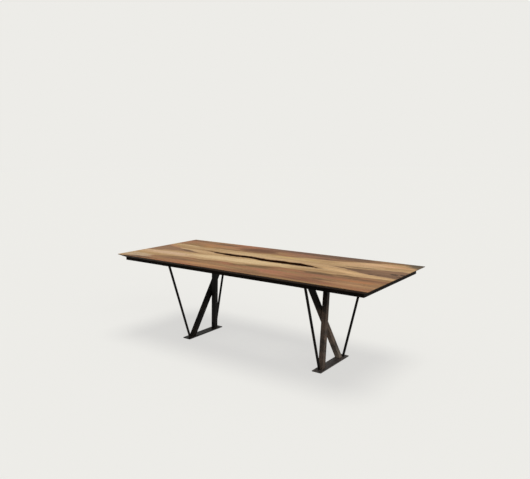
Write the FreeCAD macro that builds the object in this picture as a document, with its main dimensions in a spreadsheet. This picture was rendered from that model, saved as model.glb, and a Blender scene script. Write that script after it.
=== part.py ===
# Rustic hickory table
#
# A thin board top with an undercut edge and a natural crack lies on a mitred steel
# subframe. Two steel pedestals carry it. Each has a flat base plate, two tubes that
# cross and lean inwards to a bolted head plate, and two rods that fan out to the rails.
#
# Frame: X along the table, Y across it, Z up. The origin is on the floor, under the
# middle of the top. All lengths are in millimetres.
import FreeCAD, Part
import math
import os
import Sketcher

# Driving dimensions

SIZES = {
    # Overall
    "table_length": 2400,
    "table_width": 1000,
    "table_height": 750,
    # Wood top
    "board_thickness": 30,
    "edge_nose": 4,
    "edge_ease": 1,
    "frame_inset": 50,
    "centre_board_width": 330,
    "crack_left": 640,
    "crack_right": 550,
    "crack_width": 80,
    "tenon_length": 50,
    "tenon_width": 24,
    "tenon_thickness": 10,
    "tenon_play": 0.2,
    "tenon_pitch": 340,
    # Steel subframe
    "tube_width": 60,
    "tube_height": 25,
    "tube_wall": 2,
    "pedestal_spacing": 1330,
    "cross_tube_spread": 150,
    # Base plates and floor pads
    "base_plate_length": 440,
    "base_plate_width": 78,
    "base_plate_thickness": 8,
    "base_plate_chamfer": 1,
    "pad_length": 40,
    "pad_width": 30,
    "pad_thickness": 2,
    "pad_inset": 5,
    # Crossed tubes
    "bar_width": 40,
    "bar_depth": 40,
    "bar_wall": 3,
    "bar_foot_reach": 142,
    "front_bar_head_reach": 150,
    "back_bar_head_reach": 51,
    "front_bar_lean": 124,
    "back_foot_stagger": 10,
    "crossing_gap": 9,
    # Rods
    "rod_diameter": 20,
    "rod_foot_reach": 177,
    "front_rod_splay": 7,
    "back_rod_splay": 69,
    "front_rod_head_inset": 7,
    "back_rod_head_inset": 33,
    # Head plates
    "head_plate_thickness": 8,
    "head_plate_lap": 25,
    "head_plate_edge": 25,
    "head_plate_corner": 10,
    "head_bolt_spread": 260,
    # Rod flanges
    "flange_length": 60,
    "flange_width": 50,
    "flange_thickness": 5,
    "flange_corner": 6,
    "flange_heel": 18,
    "flange_inset": 20,
    "flange_bolt_offset": 27,
    # Screws that hold the top, and their slots in the frame
    "screw_rail_gap": 60,
    "screw_diameter": 8,
    "screw_length": 35,
    "screw_head_width": 13,
    "screw_head_height": 5.3,
    "screw_end_play": 1,
    "slot_width": 9,
    "slot_length": 20,
    # Bolts and weld nuts of the head plates
    "head_bolt_diameter": 10,
    "head_bolt_length": 22,
    "head_bolt_head_width": 17,
    "head_bolt_head_height": 6.4,
    "head_bolt_nut_height": 8,
    # Bolts and weld nuts of the rod flanges
    "flange_bolt_diameter": 6,
    "flange_bolt_length": 16,
    "flange_bolt_head_width": 10,
    "flange_bolt_head_height": 4,
    "flange_bolt_nut_height": 5,
    # Clearances and overruns
    "thread_play": 0.1,
    "bolt_hole_play": 0.5,
    "cut_overrun": 5,
    "trim_overrun": 60,
}

# Sizes worked out from the driving dimensions

WORKED_OUT = {
    "half_length": "table_length / 2",
    "half_width": "table_width / 2",
    "nose_level": "table_height - edge_nose",
    "frame_top": "table_height - board_thickness",
    "frame_bottom": "frame_top - tube_height",
    "frame_half_length": "half_length - frame_inset",
    "frame_half_width": "half_width - frame_inset",
    "frame_length": "frame_half_length * 2",
    "frame_width": "frame_half_width * 2",
    # Boards
    "seam": "centre_board_width / 2",
    "side_board_width": "half_width - seam",
    "side_board_foot": "frame_half_width - seam",
    "tenon_level": "frame_top + board_thickness / 2",
    "tenon_row_length": "tenon_pitch * 6",
    "tenon_row_start": "tenon_row_length / 2",
    "mortise_width": "tenon_width + tenon_play * 2",
    "mortise_thickness": "tenon_thickness + tenon_play * 2",
    "mortise_depth": "tenon_length / 2 + tenon_play",
    # Rails and cross tubes
    "rail_inner": "frame_half_width - tube_width",
    "end_inner": "frame_half_length - tube_width",
    "rail_bore_low": "rail_inner + tube_wall",
    "rail_bore_far": "frame_half_width - tube_wall",
    "end_bore_low": "end_inner + tube_wall",
    "end_bore_far": "frame_half_length - tube_wall",
    "bore_bottom": "frame_bottom + tube_wall",
    "bore_width": "tube_width - tube_wall * 2",
    "bore_height": "tube_height - tube_wall * 2",
    "tube_half_width": "tube_width / 2",
    "bore_half_width": "bore_width / 2",
    "cross_tube_length": "rail_inner * 2",
    "mitre_leg": "tube_width + cut_overrun * 2",
    "mitre_far_length": "frame_half_length + cut_overrun",
    "mitre_far_width": "frame_half_width + cut_overrun",
    "mitre_near_length": "end_inner - cut_overrun",
    "mitre_near_width": "rail_inner - cut_overrun",
    # Screws of the top
    "end_screw_row": "frame_half_length - tube_half_width",
    "screw_pitch": "rail_inner - screw_rail_gap",
    "screw_row_length": "screw_pitch * 2",
    "screw_radius": "screw_diameter / 2",
    "screw_head_radius": "screw_head_width / sqrt(3)",
    "screw_hole_radius": "screw_radius + thread_play",
    "screw_hole_depth": "screw_length - tube_height + screw_end_play",
    # Levels of the pedestals
    "foot_level": "pad_thickness + base_plate_thickness",
    "head_level": "frame_bottom - head_plate_thickness",
    "flange_level": "frame_bottom - flange_thickness",
    "pedestal_place": "pedestal_spacing / 2",
    "pad_reach": "(base_plate_length - pad_length) / 2 - pad_inset",
    "pad_spread": "(base_plate_width - pad_width) / 2 - pad_inset",
    # Crossed tubes: the back one clears the front one where they pass
    "bar_bore_width": "bar_width - bar_wall * 2",
    "bar_bore_depth": "bar_depth - bar_wall * 2",
    "bar_run": "bar_foot_reach * 2 + front_bar_head_reach + back_bar_head_reach",
    "crossing_share": "bar_foot_reach * 2 / bar_run",
    "crossing_extra": "bar_width + crossing_gap - back_foot_stagger",
    "back_bar_lean": "front_bar_lean + crossing_extra / crossing_share",
    "back_bar_foot_place": "pedestal_place - back_foot_stagger",
    "front_bar_head_place": "pedestal_place - front_bar_lean",
    "back_bar_head_place": "back_bar_foot_place - back_bar_lean",
    # Rods
    "rod_radius": "rod_diameter / 2",
    "back_rod_foot_place": "pedestal_place + back_foot_stagger",
    "front_rod_head_place": "pedestal_place + front_rod_splay",
    "back_rod_head_place": "pedestal_place + back_rod_splay",
    "front_rod_head_reach": "rail_inner + front_rod_head_inset",
    "back_rod_head_reach": "rail_inner + back_rod_head_inset",
    # Head plates and the cross tubes over them
    "head_place": "(front_bar_head_place + back_bar_head_place) / 2",
    "head_reach": "(front_bar_head_reach - back_bar_head_reach) / 2",
    "outer_tube_place": "head_place + cross_tube_spread / 2",
    "inner_tube_place": "head_place - cross_tube_spread / 2",
    "head_plate_length": "cross_tube_spread + head_plate_lap * 2",
    "head_plate_width": "head_bolt_spread + head_plate_edge * 2",
    "head_bolt_half_spread": "head_bolt_spread / 2",
    "head_bolt_half_gauge": "cross_tube_spread / 2",
    "head_bolt_back": "head_reach + head_bolt_half_spread",
    "head_bolt_front": "head_bolt_half_spread - head_reach",
    "head_bolt_hole_radius": "head_bolt_radius + bolt_hole_play",
    "head_bolt_tap_radius": "head_bolt_radius + thread_play",
    "head_bolt_radius": "head_bolt_diameter / 2",
    "head_bolt_head_radius": "head_bolt_head_width / sqrt(3)",
    # Rod flanges
    "flange_reach": "rail_inner + flange_inset",
    "flange_half_width": "flange_width / 2",
    "front_flange_bolt_place": "front_rod_head_place + flange_bolt_offset",
    "back_flange_bolt_place": "back_rod_head_place + flange_bolt_offset",
    "flange_bolt_hole_radius": "flange_bolt_radius + bolt_hole_play",
    "flange_bolt_tap_radius": "flange_bolt_radius + thread_play",
    "flange_bolt_radius": "flange_bolt_diameter / 2",
    "flange_bolt_head_radius": "flange_bolt_head_width / sqrt(3)",
}

# Outline of the crack, as shares: along it from its left end, then the back edge and
# the front edge as shares of its width, measured from the middle of the table

CRACK_SHARES = (
    (0.00, 0.85, 0.85),
    (0.07, 0.78, 0.59),
    (0.14, 0.67, 0.26),
    (0.21, 0.73, 0.06),
    (0.29, 0.67, -0.07),
    (0.36, 0.83, 0.00),
    (0.42, 0.78, 0.04),
    (0.48, 0.64, -0.08),
    (0.54, 0.50, -0.32),
    (0.60, 0.43, -0.40),
    (0.65, 0.54, -0.42),
    (0.71, 0.57, -0.40),
    (0.76, 0.49, -0.34),
    (0.81, 0.61, -0.31),
    (0.87, 0.47, -0.32),
    (0.92, 0.24, -0.32),
    (0.96, 0.01, -0.29),
    (1.00, -0.28, -0.28),
)

# Tenons along each seam
TENON_COUNT = 7

# Screws along each end rail
END_SCREW_COUNT = 3

# Sides of a bolt head or nut
HEX_SIDES = 6

# A place on an origin axis, where no size applies
ON_AXIS = "0"

DOC = FreeCAD.newDocument("rustic_table")
SHEET = DOC.addObject("Spreadsheet::Sheet", "sizes")


def fill_sheet():
    """Write the driving dimensions and the sizes worked out from them."""
    row = 1
    for name, number in SIZES.items():
        SHEET.set("A%d" % row, name.replace("_", " "))
        SHEET.set("B%d" % row, str(number))
        SHEET.setAlias("B%d" % row, name)
        row += 1
    for name, formula in WORKED_OUT.items():
        SHEET.set("A%d" % row, name.replace("_", " "))
        SHEET.set("B%d" % row, "=" + formula)
        SHEET.setAlias("B%d" % row, name)
        row += 1
    DOC.recompute()


def value(size):
    """The number of a size; a leading minus turns its sign."""
    if size == ON_AXIS:
        return 0.0
    number = float(SHEET.get(size.lstrip("-")))
    return -number if size.startswith("-") else number


def formula(size):
    """A size as part of a formula; a leading minus turns its sign."""
    if size.startswith("-"):
        return "(-sizes.%s)" % size.lstrip("-")
    return "sizes." + size


def bind(target, path, size):
    """Tie one property of an object to a size of the sheet."""
    target.setExpression(path, formula(size))


# Sketches


def add_body(name):
    """A new body, with the name of its sub-part."""
    body = DOC.addObject("PartDesign::Body", name)
    body.Label = name
    return body


def add_sketch(body, name, role, level=None):
    """A sketch on one of the body's origin planes, or at a level above it."""
    sketch = body.newObject("Sketcher::SketchObject", body.Name + "_" + name)
    plane = next(item for item in body.Origin.OriginFeatures if item.Role == role)
    sketch.AttachmentSupport = [(plane, "")]
    sketch.MapMode = "FlatFace"
    if level is not None:
        bind(sketch, "AttachmentOffset.Base.z", level)
    return sketch


def constrain(sketch, size, kind, *ends):
    """Add one dimension to a sketch and tie it to a size."""
    index = sketch.addConstraint(Sketcher.Constraint(kind, *ends, value(size)))
    if size != ON_AXIS:
        bind(sketch, "Constraints[%d]" % index, size)


def relate(sketch, kind, *ends):
    """Add a constraint that has no dimension."""
    sketch.addConstraint(Sketcher.Constraint(kind, *ends))


def pin_point(sketch, edge, end, across, up):
    """Hold a point of an edge at its place from the sketch's origin."""
    constrain(sketch, across, "DistanceX", -1, 1, edge, end)
    constrain(sketch, up, "DistanceY", -1, 1, edge, end)


def add_loop(sketch, corners):
    """Straight edges from corner to corner, joined end to end."""
    first = sketch.GeometryCount
    count = len(corners)
    for index in range(count):
        start = FreeCAD.Vector(*corners[index], 0)
        end = FreeCAD.Vector(*corners[(index + 1) % count], 0)
        sketch.addGeometry(Part.LineSegment(start, end), False)
    for index in range(count):
        relate(sketch, "Coincident", first + index, 2, first + (index + 1) % count, 1)
    return first


def add_box_loop(sketch, x, y, width, height):
    """Four edges held level and upright, with their width and height."""
    far_x, far_y = x + value(width), y + value(height)
    first = add_loop(sketch, [(x, y), (far_x, y), (far_x, far_y), (x, far_y)])
    for index in (0, 2):
        relate(sketch, "Horizontal", first + index)
        relate(sketch, "Vertical", first + index + 1)
    constrain(sketch, width, "DistanceX", first, 1, first, 2)
    constrain(sketch, height, "DistanceY", first + 1, 1, first + 1, 2)
    return first


def add_rectangle(sketch, left, bottom, width, height):
    """A rectangle from its lower left corner."""
    first = add_box_loop(sketch, value(left), value(bottom), width, height)
    pin_point(sketch, first, 1, left, bottom)


def add_centred_rectangle(sketch, width, height, across=ON_AXIS, up=ON_AXIS):
    """A rectangle about its middle."""
    x, y = value(across), value(up)
    corner = (x - value(width) / 2, y - value(height) / 2)
    first = add_box_loop(sketch, *corner, width, height)
    middle = (-1, 1)
    if (across, up) != (ON_AXIS, ON_AXIS):
        point = sketch.addGeometry(Part.Point(FreeCAD.Vector(x, y, 0)), True)
        pin_point(sketch, point, 1, across, up)
        middle = (point, 1)
    relate(sketch, "Symmetric", first, 1, first + 1, 2, *middle)


def add_triangle(sketch, corner_x, corner_y, leg_x, leg_y):
    """A right triangle from its square corner; a minus turns a leg round."""
    x, y = value(corner_x), value(corner_y)
    first = add_loop(sketch, [(x, y), (x + value(leg_x), y), (x, y + value(leg_y))])
    relate(sketch, "Horizontal", first)
    relate(sketch, "Vertical", first + 2)
    pin_point(sketch, first, 1, corner_x, corner_y)
    constrain(sketch, leg_x, "DistanceX", first, 1, first, 2)
    constrain(sketch, leg_y, "DistanceY", first + 2, 2, first + 2, 1)


def add_circle(sketch, across, up, radius, guide=False):
    """A circle at its place from the sketch's origin."""
    centre = FreeCAD.Vector(value(across), value(up), 0)
    circle = Part.Circle(centre, FreeCAD.Vector(0, 0, 1), value(radius))
    index = sketch.addGeometry(circle, guide)
    pin_point(sketch, index, 3, across, up)
    constrain(sketch, radius, "Radius", index)
    return index


def add_hexagon(sketch, across, up, radius):
    """A regular hexagon inside a guide circle, with two flats along the X axis."""
    turns = [2 * math.pi * side / HEX_SIDES for side in range(HEX_SIDES)]
    reach = value(radius)
    corners = [
        (value(across) + reach * math.cos(turn), value(up) + reach * math.sin(turn))
        for turn in turns
    ]
    first = add_loop(sketch, corners)
    ring = add_circle(sketch, across, up, radius, guide=True)
    for side in range(HEX_SIDES):
        relate(sketch, "PointOnObject", first + side, 1, ring)
    for side in range(1, HEX_SIDES):
        relate(sketch, "Equal", first, first + side)
    relate(sketch, "Horizontal", first + 1)


def add_tube_section(sketch, left, bore_left):
    """The outline of a frame tube and its bore."""
    add_rectangle(sketch, left, "frame_bottom", "tube_width", "tube_height")
    add_rectangle(sketch, bore_left, "bore_bottom", "bore_width", "bore_height")


# Features


def add_pad(body, sketch, length, symmetric=False):
    """Pull a sketch to a solid."""
    pad = body.newObject("PartDesign::Pad", sketch.Name + "_pad")
    pad.Profile = sketch
    pad.SideType = "Symmetric" if symmetric else "One side"
    bind(pad, "Length", length)
    return pad


def add_pocket(body, sketch, depth=None, with_normal=False):
    """Cut a sketch to a depth, or right through both ways if none is given."""
    pocket = body.newObject("PartDesign::Pocket", sketch.Name + "_pocket")
    pocket.Profile = sketch
    if depth is None:
        pocket.Type = "ThroughAll"
        pocket.SideType = "Symmetric"
    else:
        pocket.Reversed = with_normal
        bind(pocket, "Length", depth)
    return pocket


def add_row(body, feature, sketch, axis, length, count):
    """Repeat a feature along a sketch axis, over a length."""
    DOC.recompute()
    row = body.newObject("PartDesign::LinearPattern", feature.Name + "_row")
    row.Originals = [feature]
    row.Direction = (sketch, [axis])
    row.Mode = "Extent"
    bind(row, "Length", length)
    row.Occurrences = count
    body.Tip = row


def chamfer_edges(body, size, test):
    """Chamfer those edges of a body that pass a test."""
    DOC.recompute()
    tip = body.Tip
    edges = ["Edge%d" % (index + 1) for index, edge in enumerate(tip.Shape.Edges) if test(edge)]
    chamfer = body.newObject("PartDesign::Chamfer", body.Name + "_chamfer")
    chamfer.Base = (tip, edges)
    bind(chamfer, "Size", size)


def is_upright(edge):
    """True where an edge runs straight up."""
    box = edge.BoundBox
    return max(box.XLength, box.YLength) < Part.Precision.confusion()


def mirror_left(label, source):
    """The left side's copy of a piece on the right."""
    mirrored = DOC.addObject("Part::Mirroring", label)
    mirrored.Label = label
    mirrored.Source = source
    mirrored.Normal = (1, 0, 0)
    return mirrored


def set_apart(label, master, places):
    """One node of equal, separate solids, one at each place."""
    DOC.recompute()
    copies = []
    for place in places:
        copy = master.Shape.copy()
        copy.translate(FreeCAD.Vector(*place))
        copies.append(copy)
    feature = DOC.addObject("Part::Feature", label)
    feature.Label = label
    feature.Shape = Part.makeCompound(copies)
    return feature


# Wood top


def make_board(label, foot_low, foot_width, top_low, top_width):
    """A board: the undercut lofted from its underside to the nose, then the nose."""
    body = add_body(label)
    foot = add_sketch(body, "underside", "XY_Plane", "frame_top")
    add_rectangle(foot, "-frame_half_length", foot_low, "frame_length", foot_width)
    top = add_sketch(body, "nose", "XY_Plane", "nose_level")
    add_rectangle(top, "-half_length", top_low, "table_length", top_width)
    loft = body.newObject("PartDesign::AdditiveLoft", label + "_undercut")
    loft.Profile = foot
    loft.Sections = [top]
    loft.Ruled = True
    add_pad(body, top, "edge_nose")
    chamfer_edges(body, "edge_ease", is_rim)
    return body


def is_rim(edge):
    """True where a board's top edge is on the rim of the table."""
    box = edge.BoundBox
    near = Part.Precision.confusion()
    ends = [abs(abs(reach) - value("half_length")) < near for reach in (box.XMin, box.XMax)]
    sides = [abs(abs(reach) - value("half_width")) < near for reach in (box.YMin, box.YMax)]
    at_end = all(ends) and box.XLength < near
    at_side = all(sides) and box.YLength < near
    return box.ZMin > value("table_height") - near and (at_end or at_side)


def cut_mortises(body, name, seam_level, with_normal):
    """A row of mortises in one edge of a board."""
    sketch = add_sketch(body, name, "XZ_Plane", seam_level)
    add_centred_rectangle(
        sketch, "mortise_width", "mortise_thickness", "-tenon_row_start", "tenon_level"
    )
    pocket = add_pocket(body, sketch, "mortise_depth", with_normal)
    add_row(body, pocket, sketch, "H_Axis", "tenon_row_length", TENON_COUNT)


def cut_screw_holes(body, row, lines):
    """Blind holes for the screws, in the underside of a board."""
    sketch = add_sketch(body, "screw_holes", "XY_Plane", "frame_top")
    for line in lines:
        add_circle(sketch, line, row, "screw_hole_radius")
    add_pocket(body, sketch, "screw_hole_depth", with_normal=True)
    DOC.recompute()


def crack_edge(share_index):
    """One edge of the crack, as a curve through its points."""
    length = value("crack_left") + value("crack_right")
    points = []
    for shares in CRACK_SHARES:
        along = shares[0] * length - value("crack_left")
        points.append(FreeCAD.Vector(along, shares[share_index] * value("crack_width"), 0))
    curve = Part.BSplineCurve()
    curve.interpolate(points)
    return curve


def cut_crack(body):
    """The natural crack, right through the centre board."""
    sketch = add_sketch(body, "crack", "XY_Plane", "frame_top")
    back = sketch.addGeometry(crack_edge(1), False)
    front = sketch.addGeometry(crack_edge(2), False)
    relate(sketch, "Coincident", back, 1, front, 1)
    relate(sketch, "Coincident", back, 2, front, 2)
    add_pocket(body, sketch)


END_SCREW_LINES = ("-end_screw_row", "end_screw_row")
SIDE_SCREW_LINES = END_SCREW_LINES + ("-outer_tube_place", ON_AXIS, "outer_tube_place")


def make_top():
    """The three boards of the top and the tenons in their seams."""
    front = make_board(
        "top_board_front", "-frame_half_width", "side_board_foot", "-half_width", "side_board_width"
    )
    cut_mortises(front, "mortises", "seam", True)
    cut_screw_holes(front, "-screw_pitch", SIDE_SCREW_LINES)

    back = make_board("top_board_back", "seam", "side_board_foot", "seam", "side_board_width")
    cut_mortises(back, "mortises", "-seam", False)
    cut_screw_holes(back, "screw_pitch", SIDE_SCREW_LINES)

    centre = make_board(
        "top_board_centre", "-seam", "centre_board_width", "-seam", "centre_board_width"
    )
    cut_mortises(centre, "front_mortises", "seam", False)
    cut_mortises(centre, "back_mortises", "-seam", True)
    cut_crack(centre)
    cut_screw_holes(centre, ON_AXIS, END_SCREW_LINES)

    tenon = add_body("tenon")
    outline = add_sketch(tenon, "outline", "XZ_Plane")
    add_centred_rectangle(outline, "tenon_width", "tenon_thickness", ON_AXIS, "tenon_level")
    add_pad(tenon, outline, "tenon_length", symmetric=True)
    places = []
    for side in (-1, 1):
        for index in range(TENON_COUNT):
            along = index * value("tenon_pitch") - value("tenon_row_start")
            places.append((along, side * value("seam"), 0))
    return [front, centre, back, set_apart("top_tenons", tenon, places)]


# Steel subframe


def add_weld_nuts(body, spots, family):
    """Nuts welded on the floor of a tube's bore, with their holes through its wall."""
    nuts = add_sketch(body, "weld_nuts", "XY_Plane", "bore_bottom")
    for across, up in spots:
        add_hexagon(nuts, across, up, family + "_head_radius")
    add_pad(body, nuts, family + "_nut_height")
    holes = add_sketch(body, "tapped_holes", "XY_Plane", "frame_bottom")
    for across, up in spots:
        add_circle(holes, across, up, family + "_tap_radius")
    pocket = add_pocket(body, holes, "tube_wall", with_normal=True)
    pocket.setExpression(
        "Length", "sizes.tube_wall + sizes.%s_nut_height + sizes.cut_overrun" % family
    )
    DOC.recompute()


def make_rail(label, low, bore_low, corner, leg, bolt_spots):
    """A long rail: a mitred tube with weld nuts over the rod flanges."""
    body = add_body(label)
    section = add_sketch(body, "section", "YZ_Plane")
    add_tube_section(section, low, bore_low)
    add_pad(body, section, "frame_length", symmetric=True)
    mitre = add_sketch(body, "mitre", "XY_Plane", "frame_bottom")
    add_triangle(mitre, "mitre_far_length", corner, "-mitre_leg", leg)
    add_triangle(mitre, "-mitre_far_length", corner, "mitre_leg", leg)
    add_pocket(body, mitre)
    add_weld_nuts(body, bolt_spots, "flange_bolt")
    return body


def make_end(label, low, bore_low, corner, leg, screw_row):
    """An end rail: a mitred tube with a row of slots along the swell of the wood."""
    body = add_body(label)
    section = add_sketch(body, "section", "XZ_Plane")
    add_tube_section(section, low, bore_low)
    add_pad(body, section, "frame_width", symmetric=True)
    mitre = add_sketch(body, "mitre", "XY_Plane", "frame_bottom")
    add_triangle(mitre, corner, "mitre_far_width", leg, "-mitre_leg")
    add_triangle(mitre, corner, "-mitre_far_width", leg, "mitre_leg")
    add_pocket(body, mitre)
    slot = add_sketch(body, "slot", "XY_Plane", "frame_bottom")
    add_centred_rectangle(slot, "slot_width", "slot_length", screw_row, "-screw_pitch")
    pocket = add_pocket(body, slot)
    add_row(body, pocket, slot, "V_Axis", "screw_row_length", END_SCREW_COUNT)
    return body


def make_cross_tube(label, place):
    """A tube between the long rails, drawn about its own middle."""
    body = add_body(label)
    section = add_sketch(body, "section", "XZ_Plane")
    add_tube_section(section, "-tube_half_width", "-bore_half_width")
    add_pad(body, section, "cross_tube_length", symmetric=True)
    if place != ON_AXIS:
        bind(body, "Placement.Base.x", place)
    return body


def cut_slot_pair(body):
    """The two slots of a cross tube, along the swell of the wood."""
    slots = add_sketch(body, "slots", "XY_Plane", "frame_bottom")
    add_centred_rectangle(slots, "slot_width", "slot_length", ON_AXIS, "screw_pitch")
    add_centred_rectangle(slots, "slot_width", "slot_length", ON_AXIS, "-screw_pitch")
    add_pocket(body, slots)


def make_frame():
    """The four mitred rails and the five cross tubes."""
    front_spots = [
        ("front_flange_bolt_place", "-flange_reach"), ("-front_flange_bolt_place", "-flange_reach"),
    ]
    back_spots = [
        ("back_flange_bolt_place", "flange_reach"), ("-back_flange_bolt_place", "flange_reach"),
    ]
    front = make_rail(
        "frame_rail_front", "-frame_half_width", "-rail_bore_far", "-mitre_near_width",
        "-mitre_leg", front_spots,
    )
    back = make_rail(
        "frame_rail_back", "rail_inner", "rail_bore_low", "mitre_near_width", "mitre_leg", back_spots
    )
    left = make_end(
        "frame_end_left", "-frame_half_length", "-end_bore_far", "-mitre_near_length",
        "-mitre_leg", "-end_screw_row",
    )
    right = make_end(
        "frame_end_right", "end_inner", "end_bore_low", "mitre_near_length",
        "mitre_leg", "end_screw_row",
    )

    middle = make_cross_tube("cross_tube_centre", ON_AXIS)
    cut_slot_pair(middle)
    outer = make_cross_tube("cross_tube_right_outer", "outer_tube_place")
    inner = make_cross_tube("cross_tube_right_inner", "inner_tube_place")
    head_spots = [(ON_AXIS, "head_bolt_back"), (ON_AXIS, "-head_bolt_front")]
    add_weld_nuts(outer, head_spots, "head_bolt")
    add_weld_nuts(inner, head_spots, "head_bolt")
    cut_slot_pair(outer)
    mirrored = [
        mirror_left("cross_tube_left_outer", outer),
        mirror_left("cross_tube_left_inner", inner),
    ]
    return [front, back, left, right, middle, outer, inner] + mirrored


# Pedestals


def make_trim_block(label, top):
    """The space between the base plates and a level under the frame."""
    block = DOC.addObject("Part::Box", label)
    block.Label = label
    bind(block, "Length", "table_length")
    bind(block, "Width", "table_width")
    block.setExpression("Height", "sizes.%s - sizes.foot_level" % top)
    bind(block, "Placement.Base.x", "-half_length")
    bind(block, "Placement.Base.y", "-half_width")
    bind(block, "Placement.Base.z", "foot_level")
    return block


def lean(body, pad, foot, head, top):
    """Set a straight member along the line from its foot to its head."""
    start = [formula(foot[0]), formula(foot[1]), "sizes.foot_level"]
    end = [formula(head[0]), formula(head[1]), "sizes." + top]
    run, reach, rise = ["(%s - %s)" % pair for pair in zip(end, start)]
    slant = "sqrt(%s ^ 2 + %s ^ 2)" % (run, rise)
    length = "sqrt(%s ^ 2 + %s ^ 2 + %s ^ 2)" % (run, reach, rise)
    middle = "; ".join("(%s + %s) / 2" % pair for pair in zip(end, start))
    place = "create(<<vector>>; %s)" % middle
    turn = "create(<<rotation>>; 0; atan(%s / %s); -atan(%s / %s))" % (run, rise, reach, slant)
    body.setExpression("Placement", "create(<<placement>>; %s; %s)" % (place, turn))
    pad.setExpression("Length", "%s + 2 * sizes.trim_overrun" % length)


def trim_level(label, stock, block):
    """Cut a leaning member level at both ends."""
    member = DOC.addObject("Part::Common", label)
    member.Label = label
    member.Base = stock
    member.Tool = block
    return member


def make_bar(label, foot, head, block):
    """A leaning rectangular tube, cut level at its foot and head."""
    stock = add_body(label + "_stock")
    section = add_sketch(stock, "section", "XY_Plane")
    add_centred_rectangle(section, "bar_width", "bar_depth")
    add_centred_rectangle(section, "bar_bore_width", "bar_bore_depth")
    pad = add_pad(stock, section, "table_height", symmetric=True)
    lean(stock, pad, foot, head, "head_level")
    return trim_level(label, stock, block)


def make_rod(label, foot, head, block):
    """A leaning round rod, cut level at its foot and head."""
    stock = add_body(label + "_stock")
    section = add_sketch(stock, "section", "XY_Plane")
    add_circle(section, ON_AXIS, ON_AXIS, "rod_radius")
    pad = add_pad(stock, section, "table_height", symmetric=True)
    lean(stock, pad, foot, head, "flange_level")
    return trim_level(label, stock, block)


def make_base_plate():
    """The flat plate that a pedestal stands on."""
    body = add_body("base_plate_right")
    outline = add_sketch(body, "outline", "XY_Plane", "pad_thickness")
    add_centred_rectangle(outline, "base_plate_width", "base_plate_length")
    add_pad(body, outline, "base_plate_thickness")
    near_top = value("foot_level") - Part.Precision.confusion()
    chamfer_edges(body, "base_plate_chamfer", lambda edge: edge.BoundBox.ZMin > near_top)
    bind(body, "Placement.Base.x", "pedestal_place")
    return body


def make_head_plate():
    """The plate on the crossed tubes, with clipped corners and four bolt holes."""
    body = add_body("head_plate_right")
    outline = add_sketch(body, "outline", "XY_Plane", "head_level")
    add_centred_rectangle(outline, "head_plate_length", "head_plate_width")
    add_pad(body, outline, "head_plate_thickness")
    chamfer_edges(body, "head_plate_corner", is_upright)
    holes = add_sketch(body, "bolt_holes", "XY_Plane", "head_level")
    for across in ("head_bolt_half_gauge", "-head_bolt_half_gauge"):
        for up in ("head_bolt_half_spread", "-head_bolt_half_spread"):
            add_circle(holes, across, up, "head_bolt_hole_radius")
    add_pocket(body, holes)
    bind(body, "Placement.Base.x", "head_place")
    bind(body, "Placement.Base.y", "head_reach")
    return body


def make_flange(label, place, reach):
    """The flange on a rod, with clipped corners and one bolt hole beside the rod."""
    body = add_body(label)
    outline = add_sketch(body, "outline", "XY_Plane", "flange_level")
    add_rectangle(outline, "-flange_heel", "-flange_half_width", "flange_length", "flange_width")
    add_pad(body, outline, "flange_thickness")
    chamfer_edges(body, "flange_corner", is_upright)
    hole = add_sketch(body, "bolt_hole", "XY_Plane", "flange_level")
    add_circle(hole, "flange_bolt_offset", ON_AXIS, "flange_bolt_hole_radius")
    add_pocket(body, hole)
    bind(body, "Placement.Base.x", place)
    bind(body, "Placement.Base.y", reach)
    return body


def make_floor_pads():
    """The four square-cut pads under each base plate."""
    pad = add_body("floor_pad")
    outline = add_sketch(pad, "outline", "XY_Plane")
    add_centred_rectangle(outline, "pad_width", "pad_length")
    add_pad(pad, outline, "pad_thickness")
    nodes = []
    for label, side in (("floor_pads_left", -1), ("floor_pads_right", 1)):
        places = []
        for across in (-1, 1):
            for along in (-1, 1):
                x = side * value("pedestal_place") + across * value("pad_spread")
                places.append((x, along * value("pad_reach"), 0))
        nodes.append(set_apart(label, pad, places))
    return nodes


def make_pedestals():
    """Both pedestals: the right one's pieces and their mirror images."""
    bar_space = make_trim_block("bar_space", "head_level")
    rod_space = make_trim_block("rod_space", "flange_level")
    right = {
        "base_plate": make_base_plate(),
        "bar_front": make_bar(
            "bar_front_right", ("pedestal_place", "-bar_foot_reach"),
            ("front_bar_head_place", "front_bar_head_reach"), bar_space,
        ),
        "bar_back": make_bar(
            "bar_back_right", ("back_bar_foot_place", "bar_foot_reach"),
            ("back_bar_head_place", "-back_bar_head_reach"), bar_space,
        ),
        "rod_front": make_rod(
            "rod_front_right", ("pedestal_place", "-rod_foot_reach"),
            ("front_rod_head_place", "-front_rod_head_reach"), rod_space,
        ),
        "rod_back": make_rod(
            "rod_back_right", ("back_rod_foot_place", "rod_foot_reach"),
            ("back_rod_head_place", "back_rod_head_reach"), rod_space,
        ),
        "head_plate": make_head_plate(),
        "rod_flange_front": make_flange(
            "rod_flange_front_right", "front_rod_head_place", "-flange_reach"
        ),
        "rod_flange_back": make_flange(
            "rod_flange_back_right", "back_rod_head_place", "flange_reach"
        ),
    }
    left = [mirror_left(name + "_left", piece) for name, piece in right.items()]
    return list(right.values()) + left + make_floor_pads()


# Fasteners


def make_bolt(label, family):
    """A hexagon bolt, its head hanging below the origin and its shank above."""
    bolt = add_body(label)
    shank = add_sketch(bolt, "shank", "XY_Plane")
    add_circle(shank, ON_AXIS, ON_AXIS, family + "_radius")
    add_pad(bolt, shank, family + "_length")
    head = add_sketch(bolt, "head", "XY_Plane")
    add_hexagon(head, ON_AXIS, ON_AXIS, family + "_head_radius")
    pad = add_pad(bolt, head, family + "_head_height")
    pad.Reversed = True
    return bolt


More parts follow.
